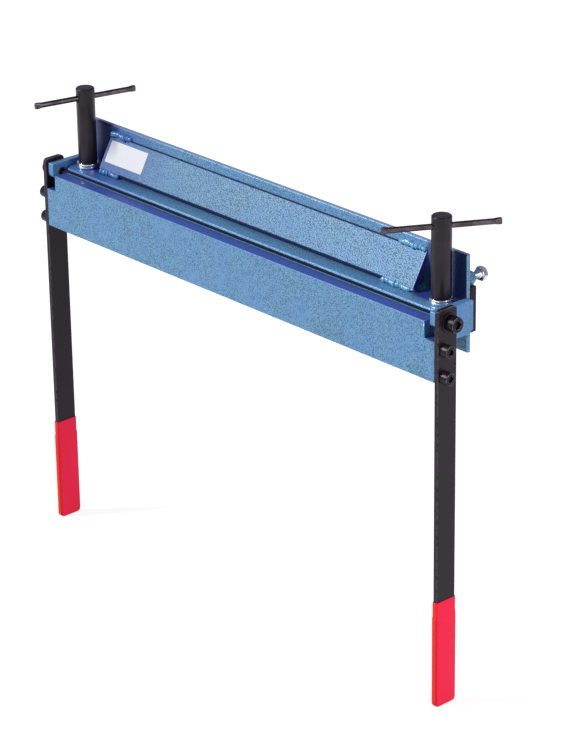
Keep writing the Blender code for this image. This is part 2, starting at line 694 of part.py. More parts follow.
def build_stiffener(root, blue):
    """The slanted plate welded between the beam's two legs, undercut below its front face."""
    foot_z = BEAM_TOP + FIT
    lip_z = foot_z + STIFFENER_LIP
    head_y = LEG_FACE_Y - FIT
    slope = (STIFFENER_TOP - lip_z) / (head_y - STIFFENER_FOOT)
    foot_w = STIFFENER_T * math.hypot(1, slope) / slope - STIFFENER_LIP / slope
    inner_foot = STIFFENER_FOOT + foot_w
    inner_head = foot_z + (head_y - inner_foot) * slope
    outline = [
        (STIFFENER_FOOT, lip_z), (STIFFENER_FOOT + STIFFENER_TOE * foot_w, foot_z),
        (inner_foot, foot_z), (head_y, inner_head), (head_y, STIFFENER_TOP),
    ]
    plate = extruded(
        outline, "X", STIFFENER_OFFSET - STIFFENER_END_X, STIFFENER_OFFSET + STIFFENER_END_X)
    finish_object("stiffener_plate", plate, blue, root, smooth=False)


def build_clamp_nuts(root, black, steel, zinc):
    """Long round clamp nuts on the studs, their washers and sliding tommy bars."""
    foot = BEAM_TOP + FIT
    angles = {"left": TOMMY_ANGLE_LEFT, "right": TOMMY_ANGLE_RIGHT}
    for side, label in SIDES:
        axis = empty(f"clamp_axis_{label}", root, (side * STUD_X, STUD_DEPTH, 0))
        stack = [
            Seat(f"{label}_{i + 1}", side, (0, 0, foot + i * WASHER_STEP), (0, 0, 0))
            for i in range(CLAMP_WASHERS)
        ]
        washer = lambda: ring(CLAMP_WASHER_R, STUD_R + STUD_HOLE_PLAY, 0, CLAMP_WASHER_T)
        placed("clamp_washer", washer, stack, zinc, axis)

        bore = STUD_R + FIT
        top = CLAMP_NUT_CROWN
        nut = finish_object(f"clamp_nut_{label}", turned([
            (bore, CLAMP_NUT_FOOT), (CLAMP_NUT_R, CLAMP_NUT_FOOT),
            (CLAMP_NUT_R, top - CLAMP_NUT_CHAMFER), (CLAMP_NUT_R - CLAMP_NUT_CHAMFER, top),
            (0, top), (0, CLAMP_NUT_FOOT + CLAMP_NUT_BORE_DEPTH),
            (bore, CLAMP_NUT_FOOT + CLAMP_NUT_BORE_DEPTH),
        ], hollow=True), black, axis)
        cross = empty(f"tommy_axis_{label}", axis, (0, 0, TOMMY_HEIGHT),
                      (math.pi / 2, 0, angles[label] + math.pi / 2))
        drill = rod(TOMMY_R + FIT, -CLAMP_NUT_R - CUT_OVERRUN, CLAMP_NUT_R + CUT_OVERRUN,
                    SMALL_SIDES)
        cut(nut, cutter(f"cut_nut_{label}", drill, cross))
        finish_object(f"tommy_bar_{label}", tommy_bar(), steel, cross)


def tommy_bar():
    """A round bar along Z whose ends are pressed flat and upright, so that it can't drop out."""
    half = TOMMY_LENGTH / 2
    flat = half - TOMMY_FLAT_LENGTH
    wide = TOMMY_FLAT_W / 2
    thin = TOMMY_FLAT_T / 2
    neck = flat + TOMMY_FLAT_LENGTH / 3
    rows = [
        (thin, wide, -half), (thin, wide, -neck), (TOMMY_R, TOMMY_R, -flat),
        (TOMMY_R, TOMMY_R, flat), (thin, wide, neck), (thin, wide, half),
    ]
    bm = bmesh.new()
    loops = []
    for half_x, half_y, height in rows:
        angles = [math.tau * i / SMALL_SIDES for i in range(SMALL_SIDES)]
        verts = [bm.verts.new((half_x * math.cos(a), half_y * math.sin(a), height))
                 for a in angles]
        loops.append([bm.edges.new((a, b)) for a, b in zip(verts, verts[1:] + verts[:1])])
    for lower, upper in zip(loops, loops[1:]):
        bmesh.ops.bridge_loops(bm, edges=lower + upper)
    bmesh.ops.edgeloop_fill(bm, edges=loops[0])
    bmesh.ops.edgeloop_fill(bm, edges=loops[-1])
    return bm


def adjuster_seats(depth):
    """The adjusting screws' axes, each pointing backwards from this depth."""
    return [
        Seat(label, side, (side * ADJUSTER_X, depth, ADJUSTER_HEIGHT), BACK_ALONG_Y)
        for side, label in SIDES
    ]


def build_adjusters(root, zinc, blue):
    """Hex screws in nuts welded on top of the guide strips; their tips meet the beam's leg."""
    under_head = BASE_DEPTH + FIT + ADJUSTER_LENGTH
    seats = adjuster_seats(BASE_DEPTH + FIT)
    blank = lambda: extruded(hexagon(ADJUSTER_ACROSS), "Z", 0, ADJUSTER_NUT_H)
    nuts = placed("adjuster_nut", blank, seats, blue, root, smooth=False)
    drill = lambda: rod(ADJUSTER_R + FIT, -CUT_OVERRUN, ADJUSTER_NUT_H + CUT_OVERRUN, SMALL_SIDES)
    bores = cutter("cut_adjuster_nuts", gathered(drill, seats), root)
    for nut in nuts:
        cut(nut, bores)
    for side, label in SIDES:
        axis = empty(f"adjuster_axis_{label}", root,
                     (side * ADJUSTER_X, under_head, ADJUSTER_HEIGHT), BACK_ALONG_Y)
        shank = rod(ADJUSTER_R, -ADJUSTER_LENGTH, ADJUSTER_HEAD_H / 2, SMALL_SIDES)
        screw = finish_object(f"adjuster_screw_{label}", shank, zinc, axis)
        head = cutter(f"shape_head_{label}",
                      extruded(hexagon(ADJUSTER_ACROSS), "Z", 0, ADJUSTER_HEAD_H), axis)
        join = screw.modifiers.new("head", "BOOLEAN")
        join.operation = "UNION"
        join.solver = "EXACT"
        join.object = head


def main():
    """Build the brake piece by piece."""
    clear_scene()
    blue = material("hammered_blue", (0.10, 0.30, 0.62), 0.35, 0.3)
    black = material("black_steel", (0.025, 0.022, 0.025), 0.38, 0.4)
    dark = material("blackened_bar", (0.09, 0.08, 0.08), 0.32, 0.8)
    red = material("red_grip", (0.90, 0.02, 0.02), 0.45, 0)
    zinc = material("zinc_plate", (0.72, 0.72, 0.70), 0.28, 1)
    steel = material("bare_steel", (0.45, 0.45, 0.46), 0.35, 1)

    root = empty("bend_line", place=BEND_LINE)
    hinge = empty("apron_hinge", root)
    build_base(root, blue)
    build_end_plates(root, blue)
    build_guide_strips(root, black, zinc)
    build_studs(root, steel, zinc, blue)
    build_pivots(root, black)
    build_apron(hinge, blue)
    build_levers(hinge, black, red)
    build_lever_screws(hinge, black)
    build_beam(root, blue)
    build_stiffener(root, blue)
    build_clamp_nuts(root, black, dark, zinc)
    build_adjusters(root, zinc, blue)


main()
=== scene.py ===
"""Looks of a sheet metal brake for a bench vice: blue hammered paint, black levers, red grips.

Metres, +Z up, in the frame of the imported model. X runs along the bend line and Y runs from the
apron to the back. Every class below dresses one sub-assembly: it reads where the piece lies from
the frame, works out a finer surface and hands it over to the body that carries it.
"""
import json
import logging
import math
from dataclasses import dataclass, field
from enum import Enum
from typing import Any, Iterable, Optional, Sequence

import bmesh
import bpy
import numpy as np
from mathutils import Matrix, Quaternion, Vector

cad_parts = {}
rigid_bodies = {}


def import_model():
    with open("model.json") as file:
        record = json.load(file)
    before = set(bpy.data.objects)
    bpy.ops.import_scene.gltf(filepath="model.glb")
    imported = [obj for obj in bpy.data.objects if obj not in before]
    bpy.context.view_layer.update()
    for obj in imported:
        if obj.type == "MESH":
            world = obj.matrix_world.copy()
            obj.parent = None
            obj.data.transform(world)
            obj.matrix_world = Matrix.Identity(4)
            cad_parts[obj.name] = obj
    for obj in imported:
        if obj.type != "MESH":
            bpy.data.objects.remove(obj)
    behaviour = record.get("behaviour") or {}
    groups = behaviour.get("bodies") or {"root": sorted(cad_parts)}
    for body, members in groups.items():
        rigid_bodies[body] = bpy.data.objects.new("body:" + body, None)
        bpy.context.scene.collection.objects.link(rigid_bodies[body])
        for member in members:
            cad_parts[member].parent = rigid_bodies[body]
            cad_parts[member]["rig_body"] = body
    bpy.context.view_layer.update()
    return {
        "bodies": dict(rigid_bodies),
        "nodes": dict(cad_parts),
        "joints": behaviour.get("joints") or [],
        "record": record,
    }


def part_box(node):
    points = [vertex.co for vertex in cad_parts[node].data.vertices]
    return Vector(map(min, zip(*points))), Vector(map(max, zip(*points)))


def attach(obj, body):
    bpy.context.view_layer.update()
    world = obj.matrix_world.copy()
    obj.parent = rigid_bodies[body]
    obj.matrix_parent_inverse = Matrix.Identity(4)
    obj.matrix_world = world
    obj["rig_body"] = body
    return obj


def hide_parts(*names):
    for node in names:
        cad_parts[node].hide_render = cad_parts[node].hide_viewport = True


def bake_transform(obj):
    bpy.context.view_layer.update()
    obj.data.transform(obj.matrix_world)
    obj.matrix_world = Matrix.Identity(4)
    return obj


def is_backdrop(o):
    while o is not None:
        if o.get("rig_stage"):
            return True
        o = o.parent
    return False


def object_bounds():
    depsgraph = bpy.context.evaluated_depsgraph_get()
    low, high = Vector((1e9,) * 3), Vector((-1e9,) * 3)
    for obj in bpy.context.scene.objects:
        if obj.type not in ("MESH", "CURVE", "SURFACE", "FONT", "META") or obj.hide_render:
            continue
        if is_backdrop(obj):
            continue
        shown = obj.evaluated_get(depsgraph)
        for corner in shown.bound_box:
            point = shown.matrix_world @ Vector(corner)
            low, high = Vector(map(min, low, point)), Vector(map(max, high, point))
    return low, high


LOG = logging.getLogger("brake")
MM = 0.001
FULL_TURN = 2 * math.pi
HALF_TURN = math.pi
QUARTER_TURN = math.pi / 2
SIXTH_TURN = math.pi / 3
SMOOTH_BELOW = math.radians(33)
UP = np.array((0.0, 0.0, 1.0))
ALONG = np.array((1.0, 0.0, 0.0))
BACKWARDS = np.array((0.0, 1.0, 0.0))

Colour = tuple[float, float, float]
Row = tuple[Any, float]


class Side(Enum):
    """The two ends of the brake, as the user at the apron sees them."""

    LEFT = -1
    RIGHT = 1

    @property
    def label(self) -> str:
        """The word that ends a piece's name."""
        return self.name.lower()

    @property
    def out(self) -> np.ndarray:
        """The direction away from the middle."""
        return float(self.value) * ALONG


class Ends(Enum):
    """What closes a row of rings."""

    CAPPED = "a flat face on the first and the last ring"
    JOINED = "the last ring meets the first"


class Slot(Enum):
    """Material slots of the record."""

    BLUE = "hammered_blue"
    BLACK = "black_steel"
    BAR = "blackened_bar"
    RED = "red_grip"
    ZINC = "zinc_plate"
    STEEL = "bare_steel"


# Shader graphs


class Wire:
    """A node's output that takes part in sums, each of which adds a Math node."""

    def __init__(self, graph: "Graph", socket: bpy.types.NodeSocket) -> None:
        """Wraps one output socket of a graph."""
        self.graph = graph
        self.socket = socket

    def sum(self, operation: str, *terms: Any) -> "Wire":
        """A Math node's result, from its operation and its inputs in order."""
        return self.graph.node("ShaderNodeMath", dict(enumerate(terms)), operation=operation)

    def __add__(self, other: Any) -> "Wire":
        """This plus other."""
        return self.sum("ADD", self, other)

    def __sub__(self, other: Any) -> "Wire":
        """This less other."""
        return self.sum("SUBTRACT", self, other)

    def __rsub__(self, other: Any) -> "Wire":
        """Other less this."""
        return self.sum("SUBTRACT", other, self)

    def __mul__(self, other: Any) -> "Wire":
        """This times other."""
        return self.sum("MULTIPLY", self, other)

    __radd__ = __add__
    __rmul__ = __mul__

    def ramped(self, low: float, high: float) -> "Wire":
        """A smooth step that is 0 at low and 1 at high."""
        values = {"Value": self, "From Min": low, "From Max": high, "To Min": 0.0, "To Max": 1.0}
        return self.graph.node("ShaderNodeMapRange", values, interpolation_type="SMOOTHSTEP")

    def between(self, rise: tuple[float, float], fall: tuple[float, float]) -> "Wire":
        """1 between a smooth step up and a smooth step down."""
        return self.ramped(*rise) * (1.0 - self.ramped(*fall))


class Graph:
    """The node tree of one material or world, built up by expressions."""

    def __init__(self, owner: Any, shader: str, output: str) -> None:
        """Takes over the node tree of its owner.

        Args:
            owner: a new material or world.
            shader: the name of the shader that the tree starts with.
            output: the name of its output node.
        """
        owner.use_nodes = True
        self.owner = owner
        self.tree = owner.node_tree
        self.shader = self.tree.nodes[shader]
        self.output = self.tree.nodes[output]

    @classmethod
    def of_material(cls, name: str) -> "Graph":
        """Starts a material with its Principled shader."""
        return cls(bpy.data.materials.new(name), "Principled BSDF", "Material Output")

    def node(self, kind: str, values: Optional[dict[Any, Any]] = None, out: Any = 0,
             **settings: Any) -> Wire:
        """Adds one node.

        Args:
            kind: the node's type.
            values: what its inputs get, by name or number, each a plain value or a Wire.
            out: the name or number of the output that is wanted.
            settings: its properties, set first.

        Returns:
            That output.
        """
        made = self.tree.nodes.new(kind)
        for key, value in settings.items():
            setattr(made, key, value)
        for key, value in (values or {}).items():
            self.feed(made.inputs[key], value)
        return Wire(self, made.outputs[out])

    def feed(self, socket: bpy.types.NodeSocket, value: Any) -> None:
        """Links a Wire to an input, or sets the input's own value.

        Args:
            socket: the input.
            value: a Wire, a number, or the three parts of a colour or a vector.
        """
        if isinstance(value, Wire):
            self.tree.links.new(value.socket, socket)
        elif isinstance(value, tuple) and socket.type == "RGBA":
            socket.default_value = (*value, 1.0)
        else:
            socket.default_value = value

    def dressed(self, **values: Any) -> Any:
        """Feeds the shader that the tree starts with.

        Args:
            values: what its inputs get, with underscores for the spaces in their names.

        Returns:
            The material or world.
        """
        for key, value in values.items():
            self.feed(self.shader.inputs[key.replace("_", " ")], value)
        return self.owner

    def place(self) -> Wire:
        """Object coordinates, in metres."""
        return self.node("ShaderNodeTexCoord", out="Object")

    def part(self, axis: str) -> Wire:
        """One of the object coordinates."""
        return self.node("ShaderNodeSeparateXYZ", {"Vector": self.place()}, axis)

    def facing(self, axis: str) -> Wire:
        """How far the piece's own surface faces along an axis, from -1 to 1."""
        normal = self.node("ShaderNodeTexCoord", out="Normal")
        return self.node("ShaderNodeSeparateXYZ", {"Vector": normal}, axis)

    def tops(self) -> Wire:
        """1 on faces that look up, 0 on walls."""
        return self.facing("Z").ramped(0.5, 0.9)

    def sideways(self) -> Wire:
        """The square of how far the piece's own surface faces along X."""
        along = self.facing("X")
        return along * along

    def noise(self, size: float, detail: float = 2.0) -> Wire:
        """Soft noise from 0 to 1 whose blobs are about size across."""
        values = {"Vector": self.place(), "Scale": 1.0 / size, "Detail": detail}
        return self.node("ShaderNodeTexNoise", values, "Fac")

    def mix(self, share: Any, first: Any, second: Any) -> Wire:
        """A colour between two."""
        return self.node("ShaderNodeMix", {"Factor": share, 6: first, 7: second}, 2,
                         data_type="RGBA")

    def rim(self) -> Wire:
        """1 on the rounded edges that softened pieces carry, 0 elsewhere."""
        return self.node("ShaderNodeAttribute", out="Fac", attribute_name="rim")

    def bump(self, height: Wire, depth: float, under: Optional[Wire] = None) -> Wire:
        """A normal tilted by a height field.

        Args:
            height: the field, from 0 to 1.
            depth: its full swing in metres.
            under: a normal that it is laid over.

        Returns:
            The tilted normal.
        """
        values = {"Height": height, "Distance": depth, "Strength": 1.0}
        if under is not None:
            values["Normal"] = under
        return self.node("ShaderNodeBump", values)


# Finishes


@dataclass(frozen=True)
class HammeredPaint:
    """Blue hammered paint: a pale greyish sky blue film with fine dark pits.

    Pits crowd in some patches. Near both ends of the beam, behind the nuts, the film is smooth
    and painted dark as painted shade. Other masks paint shade on faces that look up, towards
    the left end, in the seams and on the end faces of the slanted plate, and on the lowest strip
    of the beam's nose. Rims are lightened, partly as wear and partly as painted highlight, and
    the top of the rear leg carries a painted highlight. A place that is left at 0 leaves out the
    mask that starts there.
    """

    name: str = "hammered_blue_paint"
    pale: Colour = (0.152, 0.365, 0.550)
    clear: Colour = (0.118, 0.300, 0.530)
    deep: Colour = (0.020, 0.060, 0.180)
    # The rim colour lightens rounded edges, partly as wear and partly as painted highlight.
    worn: Colour = (0.34, 0.54, 0.78)
    # Painted shade: a darker blue for faces that look up.
    flat_top: Colour = (0.038, 0.085, 0.34)
    # Painted shade in the pockets behind the nuts, on their walls and on their floor.
    pocket: Colour = (0.012, 0.028, 0.150)
    pocket_floor: Colour = (0.026, 0.024, 0.300)
    shaded: Colour = (0.038, 0.112, 0.340)
    # Painted shadow on the lowest strip of the beam's nose.
    bare_nose: Colour = (0.002, 0.002, 0.016)
    # Painted highlight along the top of the rear leg.
    crest: Colour = (0.30, 0.33, 0.42)
    lit_edge: Colour = (0.80, 0.80, 1.00)
    # Painted shade in the seams and on the slanted plate's end faces.
    seam_dark: Colour = (0.003, 0.012, 0.075)
    dark_ends: Colour = (0.040, 0.014, 0.26)
    has_flat_top: bool = False
    nose_below: float = 0.0
    pocket_from: float = 0.0
    pocket_blend: float = 4 * MM
    pocket_behind: tuple[float, float] = (-26 * MM, -18 * MM)
    pocket_before: tuple[float, float] = (1 * MM, 2 * MM)
    crest_from: float = 0.0
    crest_share: float = 0.7
    shade_left: float = 0.0
    shade_share: float = 0.86
    bright_back: float = 0.0
    seam: tuple[float, float] = (0.0, 0.0)
    seam_heights: tuple[float, float] = (0.0, 0.0)
    seam_share: float = 0.96
    blur: float = 0.4 * MM
    cell: float = 1.30 * MM
    film: float = 5 * MM
    patch: float = 34 * MM
    share: float = 0.68
    relief: float = 0.10 * MM
    roughness: float = 0.36
    metallic: float = 0.30
    coat: float = 0.2

    def material(self) -> bpy.types.Material:
        """Builds the paint's material.

        Returns:
            A material whose pits are Voronoi cells pushed about by noise, and whose patches
            move the level at which a pit starts.
        """
        graph = Graph.of_material(self.name)
        reach = self.cells(graph)
        patch = graph.noise(self.patch, 3.0)
        film = graph.noise(self.film, 4.0)
        pit = (reach + 0.55 * (patch - 0.5) + 0.35 * (film - 0.5)).ramped(0.43, 0.68)
        colour = graph.mix(patch.ramped(0.35, 0.65), self.clear, self.pale)
        colour = graph.mix(self.share * pit, colour, self.deep)
        height = 1.0 - reach * reach
        matt_shade: Any = 0.0
        # Painted shade: faces that look up are painted darker.
        if self.has_flat_top:
            flat = graph.tops()
            colour = graph.mix(flat, colour, self.flat_top)
            height = height * (1.0 - 0.9 * flat)
        # Rims are lightened, partly as wear and partly as painted highlight.
        colour = self.edged(graph, colour)
        if self.shade_left:
            left = 1.0 - graph.part("X").ramped(self.shade_left, 0.5 * self.shade_left)
            colour = graph.mix(self.shade_share * left, colour, self.shaded)
        # Painted shade in the seams and on the end faces, with a painted highlight on their rims.
        if self.seam[1]:
            matt_shade = self.seam_mask(graph)
            colour = self.seamed(graph, colour, matt_shade)
        # Painted shadow: the lowest strip of the beam's nose is painted near black.
        if self.nose_below:
            matt_shade = 1.0 - graph.part("Z").ramped(self.nose_below - self.blur / 2,
                                                self.nose_below + self.blur / 2)
            colour = graph.mix(matt_shade, colour, self.bare_nose)
        # Painted shade in the pockets behind the nuts.
        if self.pocket_from:
            dark = self.pockets(graph)
            inside = graph.mix(graph.tops(), self.pocket, self.pocket_floor)
            colour = graph.mix(dark, colour, inside)
            height = height * (1.0 - 0.8 * dark)
            # Painted highlight along the top of the rear leg.
            top = graph.part("Z").ramped(self.crest_from - self.blur, self.crest_from)
            colour = graph.mix(self.crest_share * top, colour, self.crest)
        return graph.dressed(
            Base_Color=colour, Roughness=0.14 * pit + (self.roughness + 0.5 * matt_shade),
            Metallic=self.metallic, Coat_Weight=self.coat * (1.0 - matt_shade), Coat_Roughness=0.16,
            Normal=graph.bump(height, self.relief))

    def cells(self, graph: Graph) -> Wire:
        """Measures how far each place is from the nearest pit.

        Args:
            graph: the material's graph.

        Returns:
            The distance from the nearest cell's middle, over cells that noise has pushed about.
        """
        push = graph.node("ShaderNodeTexNoise", {
            "Vector": graph.place(), "Scale": 0.8 / self.cell, "Detail": 1.0}, "Color")
        push = graph.node("ShaderNodeVectorMath", {0: push, "Scale": 1.1 * self.cell},
                          operation="SCALE")
        spot = graph.node("ShaderNodeVectorMath", {0: graph.place(), 1: push}, operation="ADD")
        return graph.node("ShaderNodeTexVoronoi", {
            "Vector": spot, "Scale": 1.0 / self.cell, "Smoothness": 0.25}, "Distance",
            feature="SMOOTH_F1")

    def edged(self, graph: Graph, colour: Wire) -> Wire:
        """Lightens the rounded edges, partly as wear and partly as painted highlight. The
        painted highlight is strongest on the apron's edge by the beam.

        Args:
            graph: the material's graph.
            colour: the colour so far.

        Returns:
            The colour with its worn edges.
        """
        if not self.bright_back:
            return graph.mix(0.45 * graph.rim(), colour, self.worn)
        # Painted highlight on the apron's edge by the beam.
        near = graph.part("Y").ramped(self.bright_back - 2 * MM, self.bright_back - MM)
        worn = graph.mix(near, self.worn, self.lit_edge)
        return graph.mix(graph.rim() * (0.15 + 0.85 * near), colour, worn)

    def seam_mask(self, graph: Graph) -> Wire:
        """Finds the two seams along the slanted plate, between its weld beads, for painted shade.

        Args:
            graph: the material's graph.

        Returns:
            1 below the lower seam height and above the upper one, between two places on X.
        """
        start, stop = self.seam
        inside = graph.part("X").between((start, start + MM), (stop - MM, stop))
        height = graph.part("Z")
        low, high = self.seam_heights
        below = 1.0 - height.ramped(low - self.blur, low + self.blur)
        return inside * (height.ramped(high - self.blur, high + self.blur) + below)

    def seamed(self, graph: Graph, colour: Wire, seam: Wire) -> Wire:
        """Paints shade into the seams and onto the faces at both ends, and paints a highlight
        on the rims of those faces.

        Args:
            graph: the material's graph.
            colour: the colour so far.
            seam: 1 in the seams.

        Returns:
            The colour with its seams and ends.
        """
        # Painted shade in the seams and on the end faces, then a painted highlight on their rims.
        colour = graph.mix(self.seam_share * seam, colour, self.seam_dark)
        square = graph.sideways()
        colour = graph.mix(square.ramped(0.85, 0.97), colour, self.dark_ends)
        edges = square.between((0.08, 0.2), (0.8, 0.93)) * graph.rim()
        return graph.mix(0.8 * edges, colour, self.lit_edge)

    def pockets(self, graph: Graph) -> Wire:
        """Finds the pockets behind the two round nuts, where shade is painted.

        Args:
            graph: the material's graph.

        Returns:
            1 near both ends, on what faces neither the ends nor lies on the front strip or the
            beam's back.
        """
        along = graph.part("X")
        out = (along * along).ramped((self.pocket_from - self.pocket_blend) ** 2,
                                     (self.pocket_from + self.pocket_blend) ** 2)
        behind = graph.part("Y").between(self.pocket_behind, self.pocket_before)
        return 0.85 * out * behind * (1.0 - graph.sideways().ramped(0.5, 0.8))


@dataclass(frozen=True)
class BlackEnamel:
    """Satin brown-black paint on flat bar, chipped through a little on its edges."""

    name: str = "black_enamel"
    colour: Colour = (0.013, 0.007, 0.013)
    dusty: Colour = (0.025, 0.014, 0.022)
    worn: Colour = (0.16, 0.14, 0.17)
    patch: float = 26 * MM
    chip: float = 5 * MM
    peel: float = 1.6 * MM
    relief: float = 0.04 * MM

    def material(self) -> bpy.types.Material:
        """Builds the enamel's material.

        Returns:
            A dark material, dusty in patches and chipped on its rims.
        """
        graph = Graph.of_material(self.name)
        dust = graph.noise(self.patch, 4.0).ramped(0.42, 0.78)
        colour = graph.mix(0.8 * dust, self.colour, self.dusty)
        chips = graph.rim() * graph.noise(self.chip, 3.0).ramped(0.36, 0.60)
        colour = graph.mix(0.8 * chips, colour, self.worn)
        return graph.dressed(
            Base_Color=colour, Roughness=0.38 + 0.14 * dust, Specular_IOR_Level=0.22,
            Normal=graph.bump(graph.noise(self.peel, 1.0), self.relief))


@dataclass(frozen=True)
class BlackOxide:
    """Chemically blackened steel with a brown-violet cast and faint turning lines."""

    name: str = "black_oxide"
    colour: Colour = (0.007, 0.004, 0.008)
    cast: Colour = (0.014, 0.008, 0.013)
    rubbed: Colour = (0.16, 0.15, 0.18)
    patch: float = 22 * MM
    rub: float = 2.2 * MM
    lines: tuple[float, float, float] = (40.0, 40.0, 3500.0)
    relief: float = 0.008 * MM
    roughness: float = 0.24
    metallic: float = 0.0
    specular: float = 0.20

    def material(self) -> bpy.types.Material:
        """Builds the oxide's material.

        Returns:
            A material with fine turning lines and a painted highlight, broken up by noise, on
            the chamfers of what turns about X.
        """
        graph = Graph.of_material(self.name)
        cloud = graph.noise(self.patch, 2.0).ramped(0.30, 0.75)
        spot = graph.node("ShaderNodeMapping", {"Vector": graph.place(), "Scale": self.lines})
        lines = graph.node("ShaderNodeTexNoise", {"Vector": spot, "Scale": 1.0, "Detail": 2.0},
                           "Fac")
        colour = graph.mix(cloud, self.colour, self.cast)
        # Painted highlight on the chamfers of what turns about X, broken up by noise.
        if not self.metallic:
            band = graph.sideways().between((0.12, 0.3), (0.75, 0.92))
            colour = graph.mix(band * graph.noise(self.rub, 1.0).ramped(0.35, 0.6), colour,
                               self.rubbed)
        return graph.dressed(
            Base_Color=colour, Metallic=self.metallic, Roughness=self.roughness + 0.10 * lines,
            Specular_IOR_Level=self.specular, Normal=graph.bump(lines, self.relief))


@dataclass(frozen=True)
class Metal:
    """A plain metal skin whose gloss and tone drift a little."""

    name: str
    bright: Colour
    dull: Colour
    roughness: float
    grain: float = 0.9 * MM
    cloud: float = 7 * MM
    relief: float = 0.015 * MM

    def material(self) -> bpy.types.Material:
        """Builds the metal's material.

        Returns:
            A material whose tone follows a cloud and whose gloss follows cloud and grain.
        """
        graph = Graph.of_material(self.name)
        cloud = graph.noise(self.cloud, 4.0).ramped(0.35, 0.75)
        grain = graph.noise(self.grain, 2.0)
        return graph.dressed(
            Base_Color=graph.mix(cloud, self.bright, self.dull), Metallic=1.0,
            Roughness=self.roughness + 0.12 * cloud + 0.06 * grain,
            Normal=graph.bump(grain, self.relief))


@dataclass(frozen=True)
class DippedVinyl:
    """Soft red vinyl that the lever was dipped in: satin and a little wavy."""

    name: str = "dipped_red_vinyl"
    colour: Colour = (0.84, 0.020, 0.010)
    bright: Colour = (0.92, 0.022, 0.018)
    pink: Colour = (1.0, 0.018, 0.070)
    wave: float = 13 * MM
    wave_depth: float = 0.30 * MM
    grain: float = 0.7 * MM
    grain_depth: float = 0.015 * MM
    gloss: float = 3 * MM
    glow: float = 0.22

    def material(self) -> bpy.types.Material:
        """Builds the vinyl's material.

        Returns:
            A wavy material whose broad faces are painted pinker and a little luminous, as
            painted light.
        """
        graph = Graph.of_material(self.name)
        cloud = graph.noise(self.wave, 2.0)
        # Painted light: the broad faces are painted pinker and given a faint glow.
        broad = graph.sideways().ramped(0.5, 0.9)
        colour = graph.mix(broad, graph.mix(cloud, self.colour, self.bright), self.pink)
        normal = graph.bump(cloud, self.wave_depth)
        normal = graph.bump(graph.noise(self.grain, 2.0), self.grain_depth, under=normal)
        return graph.dressed(
            Base_Color=colour, Roughness=0.42 + 0.10 * graph.noise(self.gloss, 3.0),
            Specular_IOR_Level=0.22, Normal=normal, Emission_Strength=self.glow,
            Emission_Color=graph.mix(broad, (0.0, 0.0, 0.0), self.pink))


@dataclass(frozen=True)
class LabelFilm:
    """A blank pale label of vinyl film."""

    name: str = "blank_label_film"
    colour: Colour = (0.60, 0.61, 0.64)
    grimy: Colour = (0.50, 0.52, 0.56)
    patch: float = 12 * MM
    peel: float = 1.2 * MM
    relief: float = 0.02 * MM

    def material(self) -> bpy.types.Material:
        """Builds the label's material.

        Returns:
            A pale material with some grime.
        """
        graph = Graph.of_material(self.name)
        grime = graph.noise(self.patch, 4.0).ramped(0.5, 0.85)
        return graph.dressed(
            Base_Color=graph.mix(0.6 * grime, self.colour, self.grimy),
            Roughness=0.32 + 0.2 * grime,
            Normal=graph.bump(graph.noise(self.peel, 2.0), self.relief))


PAINT = HammeredPaint()
PLATE_PAINT = HammeredPaint("hammered_blue_paint_plate", (0.115, 0.300, 0.560),
                            (0.095, 0.260, 0.560), share=0.30, relief=0.05 * MM)
# Lit and shaded copies of the weld paint: the left beads are darker as painted shade, the right
# beads paler as painted highlight.
WELD_PAINT = {
    Side.LEFT: HammeredPaint("hammered_blue_paint_weld_left", (0.090, 0.230, 0.460),
                             (0.060, 0.170, 0.430), share=0.45, relief=0.06 * MM),
    Side.RIGHT: HammeredPaint("hammered_blue_paint_weld", (0.20, 0.46, 0.62),
                              (0.14, 0.36, 0.60), share=0.35, relief=0.06 * MM),
}
ENAMEL = BlackEnamel()
STRIP_ENAMEL = BlackEnamel("black_enamel_strip", (0.004, 0.002, 0.005), (0.008, 0.005, 0.009))
OXIDE = BlackOxide()
NUT_OXIDE = BlackOxide("black_oxide_nut", (0.014, 0.009, 0.015), (0.028, 0.018, 0.026),
                       roughness=0.26, metallic=0.35, specular=0.4)
ZINC = Metal("bright_zinc", (0.82, 0.83, 0.85), (0.60, 0.62, 0.66), 0.20)
BARE_STEEL = Metal("oiled_steel", (0.50, 0.50, 0.51), (0.30, 0.29, 0.29), 0.28)
DARK_BAR = Metal("blackened_bar_steel", (0.115, 0.092, 0.100), (0.052, 0.040, 0.046), 0.27,
                 cloud=12 * MM)


# Surfaces


def link(name: str, data: Any) -> bpy.types.Object:
    """Puts data into the scene.

    Args:
        name: the new object's name.
        data: a mesh, lamp or camera.

    Returns:
        The new object, at the origin.
    """
    made = bpy.data.objects.new(name, data)
    bpy.context.scene.collection.objects.link(made)
    return made


def shade(mesh: bpy.types.Mesh) -> None:
    """Shades a mesh smooth, apart from its sharp edges."""
    mesh.shade_smooth()
    mesh.set_sharp_from_angle(angle=SMOOTH_BELOW)


def mesh_object(name: str, points: np.ndarray, faces: Iterable[Sequence[int]]) -> bpy.types.Object:
    """Puts points and faces into a new object at the origin.

    Args:
        name: the piece's name.
        points: the points, one row each.
        faces: each face's points, in order.

    Returns:
        The object, shaded smooth below the usual angle.
    """
    mesh = bpy.data.meshes.new(name)
    mesh.from_pydata(points.reshape(-1, 3), [], list(faces))
    mesh.validate()
    shade(mesh)
    return link(name, mesh)


